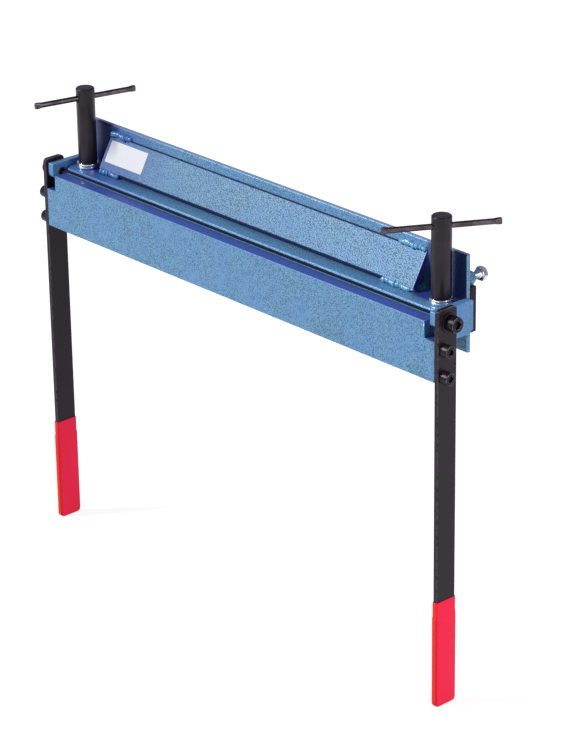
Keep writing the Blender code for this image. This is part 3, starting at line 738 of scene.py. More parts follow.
def ring_mesh(name: str, rings: np.ndarray, ends: Ends = Ends.CAPPED) -> bpy.types.Object:
    """A skin of quads between neighbouring rings, each of which closes on itself.

    Args:
        name: the piece's name.
        rings: the points, as an array of (ring, point, coordinate).
        ends: how the row of rings closes.

    Returns:
        The skin, outwards where the rings run anticlockwise about their direction of travel.
    """
    count, around = rings.shape[:2]
    rows = count if ends is Ends.JOINED else count - 1
    row, step = np.meshgrid(np.arange(rows), np.arange(around), indexing="ij")
    after, turned_on = (row + 1) % count, (step + 1) % around
    quads = np.stack((row * around + step, row * around + turned_on,
                      after * around + turned_on, after * around + step), axis=-1)
    faces = quads.reshape(-1, 4).tolist()
    if ends is Ends.CAPPED:
        faces.append(list(range(around))[::-1])
        faces.append(list(range((count - 1) * around, count * around)))
    return mesh_object(name, rings, faces)


def rectangle(wide: float, tall: float) -> list[tuple[float, float]]:
    """The corners of a rectangle about the origin, anticlockwise."""
    return [(-wide / 2, -tall / 2), (wide / 2, -tall / 2), (wide / 2, tall / 2),
            (-wide / 2, tall / 2)]


def rounded(outline: Sequence[Sequence[float]], radius: Any, steps: int = 3,
            closed: bool = True) -> np.ndarray:
    """An outline whose corners are arcs that touch both of their sides.

    Args:
        outline: the corners in order.
        radius: one radius for all corners, or one each.
        steps: how many chords each arc has.
        closed: whether the last corner joins the first; an open outline keeps its end points.

    Returns:
        The points of the rounded outline. Each arc is a spherical blend of its two end radii.
    """
    corners = np.asarray(outline, float)
    wanted = np.broadcast_to(np.asarray(radius, float), len(corners))
    back = np.roll(corners, 1, axis=0) - corners
    ahead = np.roll(corners, -1, axis=0) - corners
    back_length = np.linalg.norm(back, axis=1)
    ahead_length = np.linalg.norm(ahead, axis=1)
    back, ahead = back / back_length[:, None], ahead / ahead_length[:, None]
    half = np.arccos(np.clip((back * ahead).sum(1), -0.9999, 0.9999)) / 2
    room = 0.49 * np.minimum(back_length, ahead_length)
    reach = np.minimum(wanted / np.tan(half), room)
    true_radius = reach * np.tan(half)
    middle = back + ahead
    middle = middle / np.linalg.norm(middle, axis=1)[:, None]
    centre = corners + middle * (true_radius / np.sin(half))[:, None]
    start = corners + back * reach[:, None] - centre
    end = corners + ahead * reach[:, None] - centre
    swing = (HALF_TURN - 2 * half)[:, None, None]
    share = np.linspace(0, 1, steps + 1)[None, :, None]
    arcs = (np.sin((1 - share) * swing) * start[:, None] + np.sin(share * swing) * end[:, None])
    arcs = centre[:, None] + arcs / np.sin(swing)
    if closed:
        return arcs.reshape(-1, 2)
    return np.concatenate((corners[:1], arcs[1:-1].reshape(-1, 2), corners[-1:]))


@dataclass(frozen=True)
class Axis:
    """A line that turned shapes stand on."""

    foot: np.ndarray
    along: np.ndarray

    def spokes(self, angle: np.ndarray) -> np.ndarray:
        """Unit directions square to the line.

        Args:
            angle: the turn angles, anticlockwise about the line.

        Returns:
            One direction for each angle: its cosine on one side and its sine on another.
        """
        helper = UP if abs(self.along[2]) < 0.9 else ALONG
        first = np.cross(helper, self.along)
        first = first / np.linalg.norm(first)
        second = np.cross(self.along, first)
        return np.cos(angle)[:, None] * first + np.sin(angle)[:, None] * second

    def turned(self, name: str, rows: Iterable[Row], ends: Ends = Ends.CAPPED,
               sides: int = 96) -> bpy.types.Object:
        """Turns a profile, which climbs on its outer side.

        Args:
            name: the piece's name.
            rows: each ring's radius and height; a radius may differ for each turn angle.
            ends: how the row of rings closes.
            sides: how many turn angles there are.

        Returns:
            The turned piece, whose points are foot + height * along + radius * spoke.
        """
        rows = list(rows)
        radii = np.array([np.broadcast_to(radius, sides) for radius, _ in rows])
        heights = np.array([height for _, height in rows])
        spokes = self.spokes(np.linspace(0, FULL_TURN, sides, endpoint=False))
        return ring_mesh(name, self.foot + heights[:, None, None] * self.along
                         + radii[..., None] * spokes, ends)


def hexagon(across_flats: float, sides: int) -> np.ndarray:
    """Radius of a hexagon at each turn angle: half its width over the cosine from the flat."""
    angle = np.linspace(0, FULL_TURN, sides, endpoint=False)
    return across_flats / 2 / np.cos(angle % SIXTH_TURN - SIXTH_TURN / 2)


def hexagon_end(across_flats: float, sides: int) -> list[Row]:
    """The rings of a hexagon whose end is turned to a cone of 30 degrees.

    Args:
        across_flats: the hexagon's width.
        sides: how many turn angles there are.

    Returns:
        For each ring, the lesser of hexagon and cone, and how far it lies below the end face.
    """
    face = 0.475 * across_flats
    slope = math.tan(math.radians(30))
    depth = np.linspace(0, (across_flats / math.sqrt(3) - face) * slope, 7)
    cone = face + depth[:, None] / slope
    return list(zip(np.minimum(hexagon(across_flats, sides)[None, :], cone), depth))


@dataclass(frozen=True)
class Thread:
    """A screw thread: a V groove that climbs one pitch each turn."""

    radius: float
    pitch: float
    rings_a_turn: int = 6

    @property
    def depth(self) -> float:
        """The groove's depth, which the chamfer at the screw's tip has too."""
        return 0.6 * self.pitch

    def rows(self, start: float, stop: float, sides: int, run_out: float) -> list[Row]:
        """The rings of a stretch of thread, for a turned piece.

        Args:
            start: where it starts.
            stop: where it stops.
            sides: how many turn angles there are.
            run_out: how many pitches it takes the groove to fade out.

        Returns:
            For each ring, the radius less the groove at each angle, and its height. The groove
            fades in over one pitch.
        """
        heights = np.arange(start, stop, self.pitch / self.rings_a_turn)
        angle = np.linspace(0, 1, sides, endpoint=False)
        phase = (heights[:, None] / self.pitch - angle[None, :]) % 1.0
        groove = np.clip(1.35 * (1.0 - np.abs(2 * phase - 1)) - 0.15, 0, 1)
        fade_in = np.clip((heights - heights[0]) / self.pitch, 0, 1)
        fade_out = np.clip((heights[-1] - heights) / (run_out * self.pitch), 0, 1)
        fade = np.minimum(fade_in, fade_out)
        return list(zip(self.radius - self.depth * groove * fade[:, None], heights))


def tube(name: str, path: np.ndarray, section: np.ndarray) -> bpy.types.Object:
    """A section carried along a path.

    Args:
        name: the piece's name.
        path: the path's points.
        section: for each point of the path, the section's offsets (sideways, upwards).

    Returns:
        The tube. Sideways is square to the path and level, upwards is square to both.
    """
    travel = np.gradient(path, axis=0)
    travel = travel / np.linalg.norm(travel, axis=1)[:, None]
    side = np.cross(travel, UP)
    side = side / np.linalg.norm(side, axis=1)[:, None]
    lift = np.cross(side, travel)
    rings = path[:, None] + section[..., :1] * side[:, None] + section[..., 1:] * lift[:, None]
    return ring_mesh(name, rings[:, ::-1])


@dataclass(frozen=True)
class Softener:
    """Rounds over the sharp edges of CAD nodes."""

    weld_below: float = 0.002 * MM
    flat_below: float = math.radians(1)
    sharp_above: float = math.radians(40)
    rim_above: float = math.radians(4)
    strips: int = 3

    def copy(self, name: str, node: str, width: float) -> bpy.types.Object:
        """Copies a node and rounds its edges.

        Args:
            name: the copy's name.
            node: the node.
            width: how wide each rounded edge is.

        Returns:
            The copy, whose face attribute "rim" is 1 on the rounded edges: on faces that lie
            with none of the node's own flats.
        """
        mesh = bpy.data.objects[node].data.copy()
        work = bmesh.new()
        work.from_mesh(mesh)
        bmesh.ops.remove_doubles(work, verts=work.verts, dist=self.weld_below)
        bmesh.ops.dissolve_limit(work, angle_limit=self.flat_below, verts=work.verts,
                                 edges=work.edges)
        flats = np.array([face.normal[:] for face in work.faces])
        work.to_mesh(mesh)
        work.free()
        mesh.materials.clear()
        mesh.shade_smooth()
        made = link(name, mesh)
        edge = made.modifiers.new("round_edges", "BEVEL")
        edge.width = width
        edge.segments = self.strips
        edge.limit_method = "ANGLE"
        edge.angle_limit = self.sharp_above
        made.modifiers.new("even_shading", "WEIGHTED_NORMAL")
        settle(made)
        normals = np.empty(len(made.data.polygons) * 3, np.float32)
        made.data.polygons.foreach_get("normal", normals)
        aligned = (normals.reshape(-1, 3) @ flats.T).max(axis=1)
        rim = made.data.attributes.new("rim", "FLOAT", "FACE")
        rim.data.foreach_set("value", (aligned < math.cos(self.rim_above)).astype(np.float32))
        return made


def settle(piece: bpy.types.Object) -> None:
    """Applies a piece's modifiers to its mesh.

    Args:
        piece: the piece.
    """
    graph = bpy.context.evaluated_depsgraph_get()
    graph.update()
    mesh = bpy.data.meshes.new_from_object(piece.evaluated_get(graph))
    piece.modifiers.clear()
    old = piece.data
    piece.data = mesh
    mesh.name = piece.name
    bpy.data.meshes.remove(old)


def cut_away(piece: bpy.types.Object, tool: bpy.types.Object) -> None:
    """Takes a tool's shape out of a piece and removes the tool.

    Args:
        piece: the piece.
        tool: the tool, a closed shape.
    """
    boolean = piece.modifiers.new("cut", "BOOLEAN")
    boolean.operation = "DIFFERENCE"
    boolean.solver = "EXACT"
    boolean.object = tool
    settle(piece)
    bpy.data.objects.remove(tool)
    shade(piece.data)


# Fitting


@dataclass(frozen=True)
class Room:
    """The box that a node takes up at rest."""

    low: np.ndarray
    high: np.ndarray

    @classmethod
    def of(cls, node: str) -> "Room":
        """The room of a node."""
        return cls(*(np.array(corner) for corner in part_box(node)))

    @property
    def middle(self) -> np.ndarray:
        """The room's middle."""
        return (self.low + self.high) / 2

    @property
    def size(self) -> np.ndarray:
        """The room's width, depth and height."""
        return self.high - self.low

    def axis(self, along: np.ndarray) -> Axis:
        """A line through the room's middle, from where it enters the room."""
        return Axis(self.middle - along * (self.size @ along) / 2, along)


def front_corner(node: str) -> np.ndarray:
    """The corner of a node's mesh that lies furthest forwards, at the left end."""
    corners = np.array([vertex.co[:] for vertex in bpy.data.objects[node].data.vertices])
    return corners[np.lexsort((corners[:, 2], corners[:, 0], np.round(corners[:, 1], 5)))[0]]


@dataclass
class Fitter:
    """Hands finished pieces to the frame and keeps one material for each finish."""

    frame: dict[str, Any]
    softener: Softener = field(default_factory=Softener)
    made: dict[Any, bpy.types.Material] = field(default_factory=dict)

    def finish(self, finish: Any) -> bpy.types.Material:
        """Gives a finish's material.

        Args:
            finish: the finish.

        Returns:
            Its material, built the first time only.
        """
        if finish not in self.made:
            self.made[finish] = finish.material()
        return self.made[finish]

    def fit(self, piece: bpy.types.Object, finish: Any, slot: Slot, node: str) -> None:
        """Dresses a piece that stands for a node and lets it ride with that node's body."""
        self.add(piece, finish, slot, self.frame["nodes"][node]["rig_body"])
        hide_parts(node)

    def soften(self, name: str, node: str, width: float, finish: Any, slot: Slot) -> None:
        """Dresses a node's copy with rounded edges, which stands for the node."""
        self.fit(self.softener.copy(name, node, width), finish, slot, node)

    def add(self, piece: bpy.types.Object, finish: Any, slot: Slot, body: str) -> None:
        """Dresses a piece and lets it ride with a body.

        Args:
            piece: the piece.
            finish: its finish.
            slot: the record's slot that it belongs to; not used.
            body: the body.
        """
        piece.data.materials.clear()
        piece.data.materials.append(self.finish(finish))
        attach(piece, body)
        LOG.info("%s rides on %s with %d faces", piece.name, body, len(piece.data.polygons))


# Fasteners


@dataclass(frozen=True)
class CapSize:
    """The standard sizes of a socket head cap screw."""

    head: float
    radius: float
    socket: float
    socket_depth: float
    pitch: float


M10_CAP = CapSize(10 * MM, 5 * MM, 8 * MM, 5 * MM, 1.5 * MM)
M8_CAP = CapSize(8 * MM, 4 * MM, 6 * MM, 4 * MM, 1.25 * MM)


@dataclass(frozen=True)
class CapScrew:
    """A socket head cap screw with a knurled head."""

    node: str
    side: Side
    size: CapSize
    teeth: int = 44
    angles_a_tooth: int = 4
    knurl: float = 0.09 * MM
    chamfer: float = 0.8 * MM

    def build(self, fitter: Fitter) -> None:
        """Builds the screw from its tip to the bottom of its socket, as rings about its axis.

        Args:
            fitter: what hands it over.
        """
        room, size, cut = Room.of(self.node), self.size, self.chamfer
        outer, tip = room.high[0], room.low[0]
        if self.side is Side.LEFT:
            outer, tip = tip, outer
        seat = np.array((outer - self.side.value * size.head, *room.middle[1:]))
        reach, head, top = abs(seat[0] - tip), room.size[1] / 2, size.head
        sides = self.teeth * self.angles_a_tooth
        thread = Thread(size.radius, size.pitch)
        tooth = np.abs(2 * ((np.arange(sides) / self.angles_a_tooth) % 1) - 1)
        knurled = head - self.knurl * tooth
        socket = hexagon(size.socket, sides)
        mouth = np.maximum(socket, size.socket / math.sqrt(3) * 0.99)
        rows = [
            (size.radius - thread.depth, -reach),
            *thread.rows(-reach + thread.depth, -size.pitch, sides, 3),
            (size.radius, 0.0), (head - cut / 2, 0.0), (head, cut / 2), (head, 0.14 * top),
            (knurled, 0.18 * top), (knurled, top - 1.9 * cut),
            (head - 0.1 * cut, top - 1.3 * cut), (head - 0.45 * cut, top - 0.5 * cut),
            (head - cut, top - 0.1 * cut), (head - 1.3 * cut, top), (mouth + 0.3 * cut, top),
            (mouth, top - 0.3 * cut), (socket, top - 0.7 * cut),
            (socket, top - size.socket_depth), (0.25 * socket, top - 1.25 * size.socket_depth),
        ]
        piece = Axis(seat, self.side.out).turned(f"{self.node}_turned", rows, sides=sides)
        fitter.fit(piece, OXIDE, Slot.BLACK, self.node)


@dataclass(frozen=True)
class Washer:
    """A plain washer with round edges, along X or Z."""

    node: str
    bore: float
    along: np.ndarray
    corner: float = 0.35 * MM

    def build(self, fitter: Fitter, finish: Any = ZINC, slot: Slot = Slot.ZINC) -> None:
        """Builds the washer as a closed profile turned about its axis.

        Args:
            fitter: what hands it over.
            finish: its finish.
            slot: its slot.
        """
        room = Room.of(self.node)
        thick, radius = room.size @ self.along, room.size[1] / 2
        profile = rounded(
            [(self.bore, 0), (radius, 0), (radius, thick), (self.bore, thick)],
            self.corner * np.array((0.5, 1.0, 1.0, 0.5)))
        piece = room.axis(self.along).turned(f"{self.node}_turned", profile, Ends.JOINED)
        fitter.fit(piece, finish, slot, self.node)


@dataclass(frozen=True)
class HexNut:
    """A hexagon nut with both faces turned, on an axis along Y or Z."""

    node: str
    bore: float
    along: np.ndarray
    turned_by: float = 0.0
    mouth: float = 0.5 * MM
    sides: int = 96

    def build(self, fitter: Fitter, finish: Any, slot: Slot) -> None:
        """Builds the nut as closed rings: bore, lower face, cone, flats, cone, upper face.

        Args:
            fitter: what hands it over.
            finish: its finish.
            slot: its slot.
        """
        room = Room.of(self.node)
        thick, mouth = room.size @ self.along, self.bore + self.mouth
        shift = round(self.turned_by / FULL_TURN * self.sides)
        lower = [(np.roll(radii, shift), depth)
                 for radii, depth in hexagon_end(np.median(room.size), self.sides)]
        upper = [(radii, thick - depth) for radii, depth in reversed(lower)]
        rows = [(self.bore, self.mouth), (mouth, 0.0), *lower, *upper,
                (mouth, thick), (self.bore, thick - self.mouth)]
        piece = room.axis(self.along).turned(f"{self.node}_turned", rows, Ends.JOINED, self.sides)
        fitter.fit(piece, finish, slot, self.node)


@dataclass(frozen=True)
class SplitWasher:
    """A spring lock washer: a square wire bent to one turn, with a slit."""

    node: str
    side: Side
    bore: float
    slit: float = math.radians(9)
    steps: int = 72
    twist: float = 0.25 * MM
    corner: float = 0.2 * MM

    def build(self, fitter: Fitter) -> None:
        """Carries a small rectangle round the axis, its two ends a little apart along it.

        Args:
            fitter: what hands it over.
        """
        room = Room.of(self.node)
        radius = room.size[1] / 2
        width = radius - self.bore
        angle = np.linspace(self.slit / 2, FULL_TURN - self.slit / 2, self.steps)
        spoke = Axis(room.middle, self.side.out).spokes(angle)
        shift = self.twist * (angle / FULL_TURN - 0.5)
        section = rounded(rectangle(width, room.size[0] - self.twist), self.corner)[::-1]
        spot = room.middle + (radius - width / 2) * spoke + shift[:, None] * self.side.out
        rings = (spot[:, None] + section[None, :, :1] * spoke[:, None]
                 + section[None, :, 1:] * self.side.out)
        fitter.fit(ring_mesh(f"{self.node}_split", rings), OXIDE, Slot.BLACK, self.node)


# Sub-assemblies


@dataclass
class Base:
    """The base angle with its end plates, guide strips, spring cups, studs and pivots."""

    fitter: Fitter
    edge: float = 0.7 * MM
    plate_edge: float = 0.9 * MM
    strip_edge: float = 0.3 * MM
    adjuster_bore: float = 4.2 * MM
    stud: Thread = Thread(6.0 * MM, 1.75 * MM)
    stud_sides: int = 48
    stud_play: float = 0.3 * MM
    collar_height: float = 3.0 * MM
    collar_above: float = 18.1 * MM
    collar_corner: float = 0.3 * MM
    plain_below: float = 3 * MM
    plain_above: float = 2 * MM
    cup_bore: float = 10.5 * MM
    cup_floor: float = 3.0 * MM
    cup_corners: tuple[float, ...] = (0.2 * MM, 1.2 * MM, 0.4 * MM, 0.4 * MM, 0.8 * MM, 0.2 * MM)
    spring_wire: float = 0.8 * MM
    spring_turns: int = 6
    spring_end_pitch: float = 2.1 * MM
    spring_steps: int = 48
    wire_sides: int = 16
    strip_screw_radius: float = 2.5 * MM
    strip_screw_tip: float = 0.3 * MM
    strip_socket: float = 3.0 * MM
    strip_socket_depth: float = 1.6 * MM
    strip_socket_floor: float = 2.1 * MM
    strip_screw_land: float = 0.2 * MM
    strip_screw_edge: float = 0.15 * MM
    pivot_bore: float = 5.3 * MM
    pivot_corner: float = 0.2 * MM

    def build(self) -> None:
        """Builds every piece that stands still."""
        self.fitter.soften("base_angle_bar", "base_angle", self.edge, PAINT, Slot.BLUE)
        for side in Side:
            self.plates(side)
            self.clamp_stud(side)
            self.spring(side)
            self.pivot(side)

    def plates(self, side: Side) -> None:
        """The end plate, and the guide strip with its two screws and the nut welded on top.

        Args:
            side: the end they stand at.
        """
        node = f"end_plate_{side.label}"
        self.fitter.soften(f"{node}_cut", node, self.plate_edge, PLATE_PAINT, Slot.BLUE)
        node = f"guide_strip_{side.label}"
        self.fitter.soften(f"{node}_bar", node, self.strip_edge, STRIP_ENAMEL, Slot.BLACK)
        for level in ("upper", "lower"):
            self.strip_screw(f"strip_screw_{side.label}_{level}")
        nut = HexNut(f"adjuster_nut_{side.label}", self.adjuster_bore, BACKWARDS)
        nut.build(self.fitter, PAINT, Slot.BLUE)

    def strip_screw(self, node: str) -> None:
        """A countersunk screw whose socket opens backwards.

        Args:
            node: the screw's node.
        """
        room = Room.of(node)
        head, length, radius = room.size[0] / 2, room.size[1], self.strip_screw_radius
        tip, edge, land = self.strip_screw_tip, self.strip_screw_edge, self.strip_screw_land
        socket = hexagon(self.strip_socket, 96)
        rows = [
            (radius - tip, 0.0), (radius, tip),
            (radius, length - (head - radius) - land), (head, length - land),
            (head - edge, length), (self.strip_socket * 0.6, length),
            (socket, length - edge), (socket, length - self.strip_socket_depth),
            (0.3 * socket, length - self.strip_socket_floor),
        ]
        piece = room.axis(BACKWARDS).turned(f"{node}_turned", rows)
        self.fitter.fit(piece, ZINC, Slot.ZINC, node)

    def clamp_stud(self, side: Side) -> None:
        """The cup, the stud with its collar, and the washer and nut that hold it.

        Args:
            side: the end they stand at.
        """
        node = f"spring_cup_{side.label}"
        room = Room.of(node)
        outer, deep = room.size[0] / 2, room.size[2]
        hole = self.stud.radius + self.stud_play
        profile = rounded([
            (hole, 0), (outer, 0), (outer, deep), (self.cup_bore, deep),
            (self.cup_bore, self.cup_floor), (hole, self.cup_floor),
        ], self.cup_corners)
        self.fitter.fit(room.axis(UP).turned(f"{node}_turned", profile, Ends.JOINED), PAINT,
                        Slot.BLUE, node)
        self.threaded_stud(f"clamp_stud_{side.label}")
        Washer(f"stud_washer_{side.label}", hole, UP).build(self.fitter)
        nut = HexNut(f"stud_nut_{side.label}", self.stud.radius, UP, QUARTER_TURN)
        nut.build(self.fitter, ZINC, Slot.ZINC)

    def threaded_stud(self, node: str) -> None:
        """A stud threaded at both ends, plain through the collar.

        Args:
            node: the stud's node.
        """
        room, thread, sides, corner = Room.of(node), self.stud, self.stud_sides, self.collar_corner
        radius, collar, length = thread.radius, room.size[0] / 2, room.size[2]
        low = self.collar_above
        high = low + self.collar_height
        rows = [
            (radius - thread.depth, 0.0),
            *thread.rows(thread.depth, low - self.plain_below, sides, 2),
            (radius, low), (collar - corner, low), (collar, low + corner),
            (collar, high - corner), (collar - corner, high), (radius, high),
            *thread.rows(high + self.plain_above, length - thread.depth, sides, 2),
            (radius - thread.depth, length),
        ]
        piece = room.axis(UP).turned(f"{node}_threaded", rows, sides=sides)
        self.fitter.fit(piece, BARE_STEEL, Slot.STEEL, node)

    def spring(self, side: Side) -> None:
        """A compression spring with closed ends.

        The wire's centre follows a helix; its height climbs a small pitch in the first and last
        turn and an even one between.

        Args:
            side: the end it stands at.
        """
        node = f"lift_spring_{side.label}"
        room, wire, turns = Room.of(node), self.spring_wire, self.spring_turns
        mean = room.size[0] / 2 - wire
        foot, head = room.low[2] + wire, room.high[2] - wire
        turn = np.linspace(0, turns, turns * self.spring_steps + 1)
        inner = turns - 2
        pitch = (head - foot - 2 * self.spring_end_pitch) / inner
        ends = np.clip(turn, 0, 1) + np.clip(turn - inner - 1, 0, 1)
        rise = foot + ends * self.spring_end_pitch + np.clip(turn - 1, 0, inner) * pitch
        centre = room.middle[:2]
        swing = FULL_TURN * turn
        level = centre + mean * np.stack((np.cos(swing), np.sin(swing)), axis=1)
        path = np.column_stack((level, rise))
        around = np.linspace(0, FULL_TURN, self.wire_sides, endpoint=False)
        section = wire * np.stack((np.cos(around), np.sin(around)), axis=1)
        piece = tube(f"{node}_wire", path, np.broadcast_to(section, (len(path), *section.shape)))
        piece.data.materials.append(self.fitter.finish(BARE_STEEL))
        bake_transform(piece)
        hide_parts(node)
        LOG.info("%s stretches between root and beam", piece.name)

    def pivot(self, side: Side) -> None:
        """The pivot's cap screw and washer.

        Args:
            side: the end they stand at.
        """
        CapScrew(f"pivot_screw_{side.label}", side, M10_CAP).build(self.fitter)
        washer = Washer(f"pivot_washer_{side.label}", self.pivot_bore, ALONG, self.pivot_corner)
        washer.build(self.fitter, OXIDE, Slot.BLACK)


@dataclass
class Apron:
    """The folding leaf with its two levers, their grips and screws."""

    fitter: Fitter
    edge: float = 0.8 * MM
    lever_edge: float = 0.6 * MM
    lock_bore: float = 4.3 * MM
    grip_wall: float = 1.5 * MM
    collar_wall: float = 0.95 * MM
    collar_length: float = 17 * MM
    grip_end: float = 2.6 * MM
    foot_radius: float = 4.5 * MM
    gap: float = 0.3 * MM
    corner: float = 2.6 * MM
    least_corner: float = 0.25 * MM

    def build(self) -> None:
        """Builds every piece that swings."""
        # Painted shade on faces that look up, and a painted highlight on the edge by the beam.
        paint = HammeredPaint("hammered_blue_paint_apron", has_flat_top=True,
                              bright_back=Room.of("apron_bar").high[1])
        self.fitter.soften("apron_leaf", "apron_bar", self.edge, paint, Slot.BLUE)
        for side in Side:
            node = f"lever_{side.label}"
            self.fitter.soften(f"{node}_bar", node, self.lever_edge, ENAMEL, Slot.BLACK)
            self.grip(side)
            for level in ("upper", "lower"):
                label = f"{side.label}_{level}"
                CapScrew(f"lever_screw_{label}", side, M8_CAP).build(self.fitter)
                SplitWasher(f"lock_washer_{label}", side, self.lock_bore).build(self.fitter)

    def grip(self, side: Side) -> None:
        """A dipped sleeve, narrower for a short way at its mouth, with round lower corners.

        Each ring is a rectangle with round corners at one height: rings climb the outside, turn
        over the mouth and go down inside, close round the lever.

        Args:
            side: the lever's end.
        """
        node = f"grip_{side.label}"
        room, lever = Room.of(node), Room.of(f"lever_{side.label}")
        half, middle = lever.size[:2] / 2, lever.middle[:2]
        bottom, mouth = room.low[2], room.high[2]
        step = mouth - self.collar_length
        wall, thin = self.grip_wall, self.collar_wall
        rows = [
            (-0.9 * MM, bottom), (0.1 * MM, bottom + 0.25 * MM),
            (wall - 0.7 * MM, bottom + 0.9 * MM), (wall - 0.3 * MM, bottom + 1.6 * MM),
            (wall - 0.2 * MM, bottom + 2.4 * MM), (wall - 0.1 * MM, bottom + 3.4 * MM),
            (wall, bottom + 4.5 * MM), (wall, step - 30 * MM),
            (wall, step - 1.2 * MM), (wall - 0.15 * MM, step - 0.4 * MM),
            (thin + 0.2 * MM, step + 0.4 * MM), (thin, step + 1.3 * MM), (thin, mouth - 0.6 * MM),
            (thin - 0.25 * MM, mouth - 0.1 * MM), (thin - 0.5 * MM, mouth),
            (self.gap, mouth - 0.2 * MM), (self.gap, bottom + self.grip_end),
        ]
        corners = np.array(((1, 1), (-1, 1), (-1, -1), (1, -1)), float)
        rings = []
        for grown, height in rows:
            radius = max(self.corner + grown - wall, self.least_corner)
            below = max(self.foot_radius - (height - bottom), 0.0)
            lost = self.foot_radius - math.sqrt(self.foot_radius ** 2 - below ** 2)
            outline = rounded(corners * (half + grown - np.array((0.0, lost))), radius, steps=6)
            rings.append(np.column_stack((outline + middle, np.full(len(outline), height))))
        piece = ring_mesh(f"{node}_sleeve", np.array(rings))
        self.fitter.fit(piece, DippedVinyl(), Slot.RED, node)


@dataclass
class Beam:
    """The clamp beam with its slanted plate, weld beads, blank label and clamp washers."""

    fitter: Fitter
    edge: float = 0.7 * MM
    plate_edge: float = 1.5 * MM
    # Height of the nose strip that is painted near black as painted shadow.
    bare_strip: float = 3.1 * MM
    washer_bore: float = 6.75 * MM
    washer_corner: float = 0.45 * MM
    weld_radius: float = 3.3 * MM
    weld_pitch: float = 4.4 * MM
    weld_lag: float = 1.3 * MM
    weld_drift: float = 0.55 * MM
    drift_reach: float = 2.9 * MM
    weld_upper: tuple[float, float] = (-0.6 * MM, 0.6 * MM)
    weld_lower: tuple[float, float] = (0.8 * MM, 2.2 * MM)
    weld_steps: int = 148
    weld_sides: int = 20
    weld_lengths: dict[Side, tuple[float, float]] = field(default_factory=lambda: {
        Side.LEFT: (34 * MM, 32 * MM), Side.RIGHT: (38 * MM, 45 * MM)})
    swells: tuple[float, ...] = (0.8 * MM, 1.4 * MM, 2.3 * MM, 4.1 * MM)
    label_inset: float = 4.5 * MM
    label_up: float = 0.53
    label_size: tuple[float, float] = (60 * MM, 24 * MM)
    label_thick: float = 0.25 * MM
    label_sunk: float = 0.1 * MM
    label_corner: float = 1.5 * MM
    seed: int = 7

    def build(self) -> None:
        """Builds every piece that lifts."""
        self.bars()
        plate = Room.of("stiffener_plate")
        random = np.random.default_rng(self.seed)
        for side in Side:
            end = plate.high[0] if side is Side.RIGHT else plate.low[0]
            upper, lower = self.weld_lengths[side]
            back = np.array((end, *(plate.high[1:] + self.weld_upper)))
            front = np.array((end, *(plate.low[1:] + self.weld_lower)))
            self.weld(f"weld_{side.label}_upper", back, side, upper, random)
            self.weld(f"weld_{side.label}_lower", front, side, lower, random)
            for count in (1, 2):
                Washer(f"clamp_washer_{side.label}_{count}", self.washer_bore, UP,
                       self.washer_corner).build(self.fitter)
        self.label(plate)

    def bars(self) -> None:
        """The angle bar and the slanted plate, each in its own variant of the paint."""
        plate, bar = Room.of("stiffener_plate"), Room.of("clamp_beam")
        # The beam's paint has painted shadow on its nose strip, painted shade in the pockets and to
        # the left, and a painted highlight along the rear leg's top.
        nose_shaded = HammeredPaint("hammered_blue_paint_beam", pocket_from=plate.high[0],
                              shade_left=plate.low[0], crest_from=bar.high[2],
                              nose_below=bar.low[2] + self.bare_strip)
        self.fitter.soften("clamp_beam_bar", "clamp_beam", self.edge, nose_shaded, Slot.BLUE)
        lip = front_corner("stiffener_plate")[2]
        # The slanted plate's paint has painted shade in its seams, on its end faces and to the
        # left, and a painted highlight on its end rims.
        seamed = HammeredPaint(
            "hammered_blue_paint_slant", (0.084, 0.205, 0.300), (0.062, 0.160, 0.280),
            deep=(0.012, 0.034, 0.110), shaded=(0.024, 0.068, 0.215), shade_left=plate.low[0],
            seam=(plate.low[0] + self.weld_lengths[Side.LEFT][1],
                  plate.high[0] - self.weld_lengths[Side.RIGHT][0]),
            seam_heights=(lip + 0.8 * MM, plate.high[2] - 1.7 * MM))
        self.fitter.soften("stiffener_plate_cut", "stiffener_plate", self.plate_edge, seamed,
                           Slot.BLUE)

    def weld(self, name: str, start: np.ndarray, side: Side, length: float,
             random: np.random.Generator) -> None:
        """A hand-laid bead of weld under paint, from a corner of the plate inwards.

        The bead's radius is its size times ripples, which lag round its back as a weld pool's
        do, times a few slow swells, and it falls off as a quarter circle at both ends.

        Args:
            name: the bead's name.
            start: where it starts.
            side: the plate's end that it starts from.
            length: how long it is.
            random: where the swells' phases are drawn from.
        """
        along = np.linspace(0, 1, self.weld_steps)
        angle = np.linspace(0, FULL_TURN, self.weld_sides, endpoint=False)
        travel = along * length
        lag = self.weld_lag * np.cos(angle)[None, :]
        phase = (travel[:, None] + lag) / self.weld_pitch
        ripple = 0.78 + 0.22 * np.sqrt(np.abs(np.sin(HALF_TURN * phase)))
        waves = random.uniform(0, FULL_TURN, len(self.swells))
        swell = 1 + sum(0.11 * np.sin(travel / reach + wave)
                        for reach, wave in zip(self.swells, waves))
        fall = np.sqrt(1 - np.clip(np.abs(2 * along - 1) * 1.12 - 0.12, 0, 1) ** 6)
        radius = self.weld_radius * ripple * (swell * np.maximum(fall, 0.12))[:, None]
        section = np.stack((radius * np.cos(angle), radius * np.sin(angle)), axis=-1)
        drift = self.weld_drift * np.sin(travel / self.drift_reach + waves[0])
        path = start + np.stack((-side.value * travel, drift, 0.5 * drift), axis=1)
        self.fitter.add(tube(name, path, section), WELD_PAINT[side], Slot.BLUE, "beam")

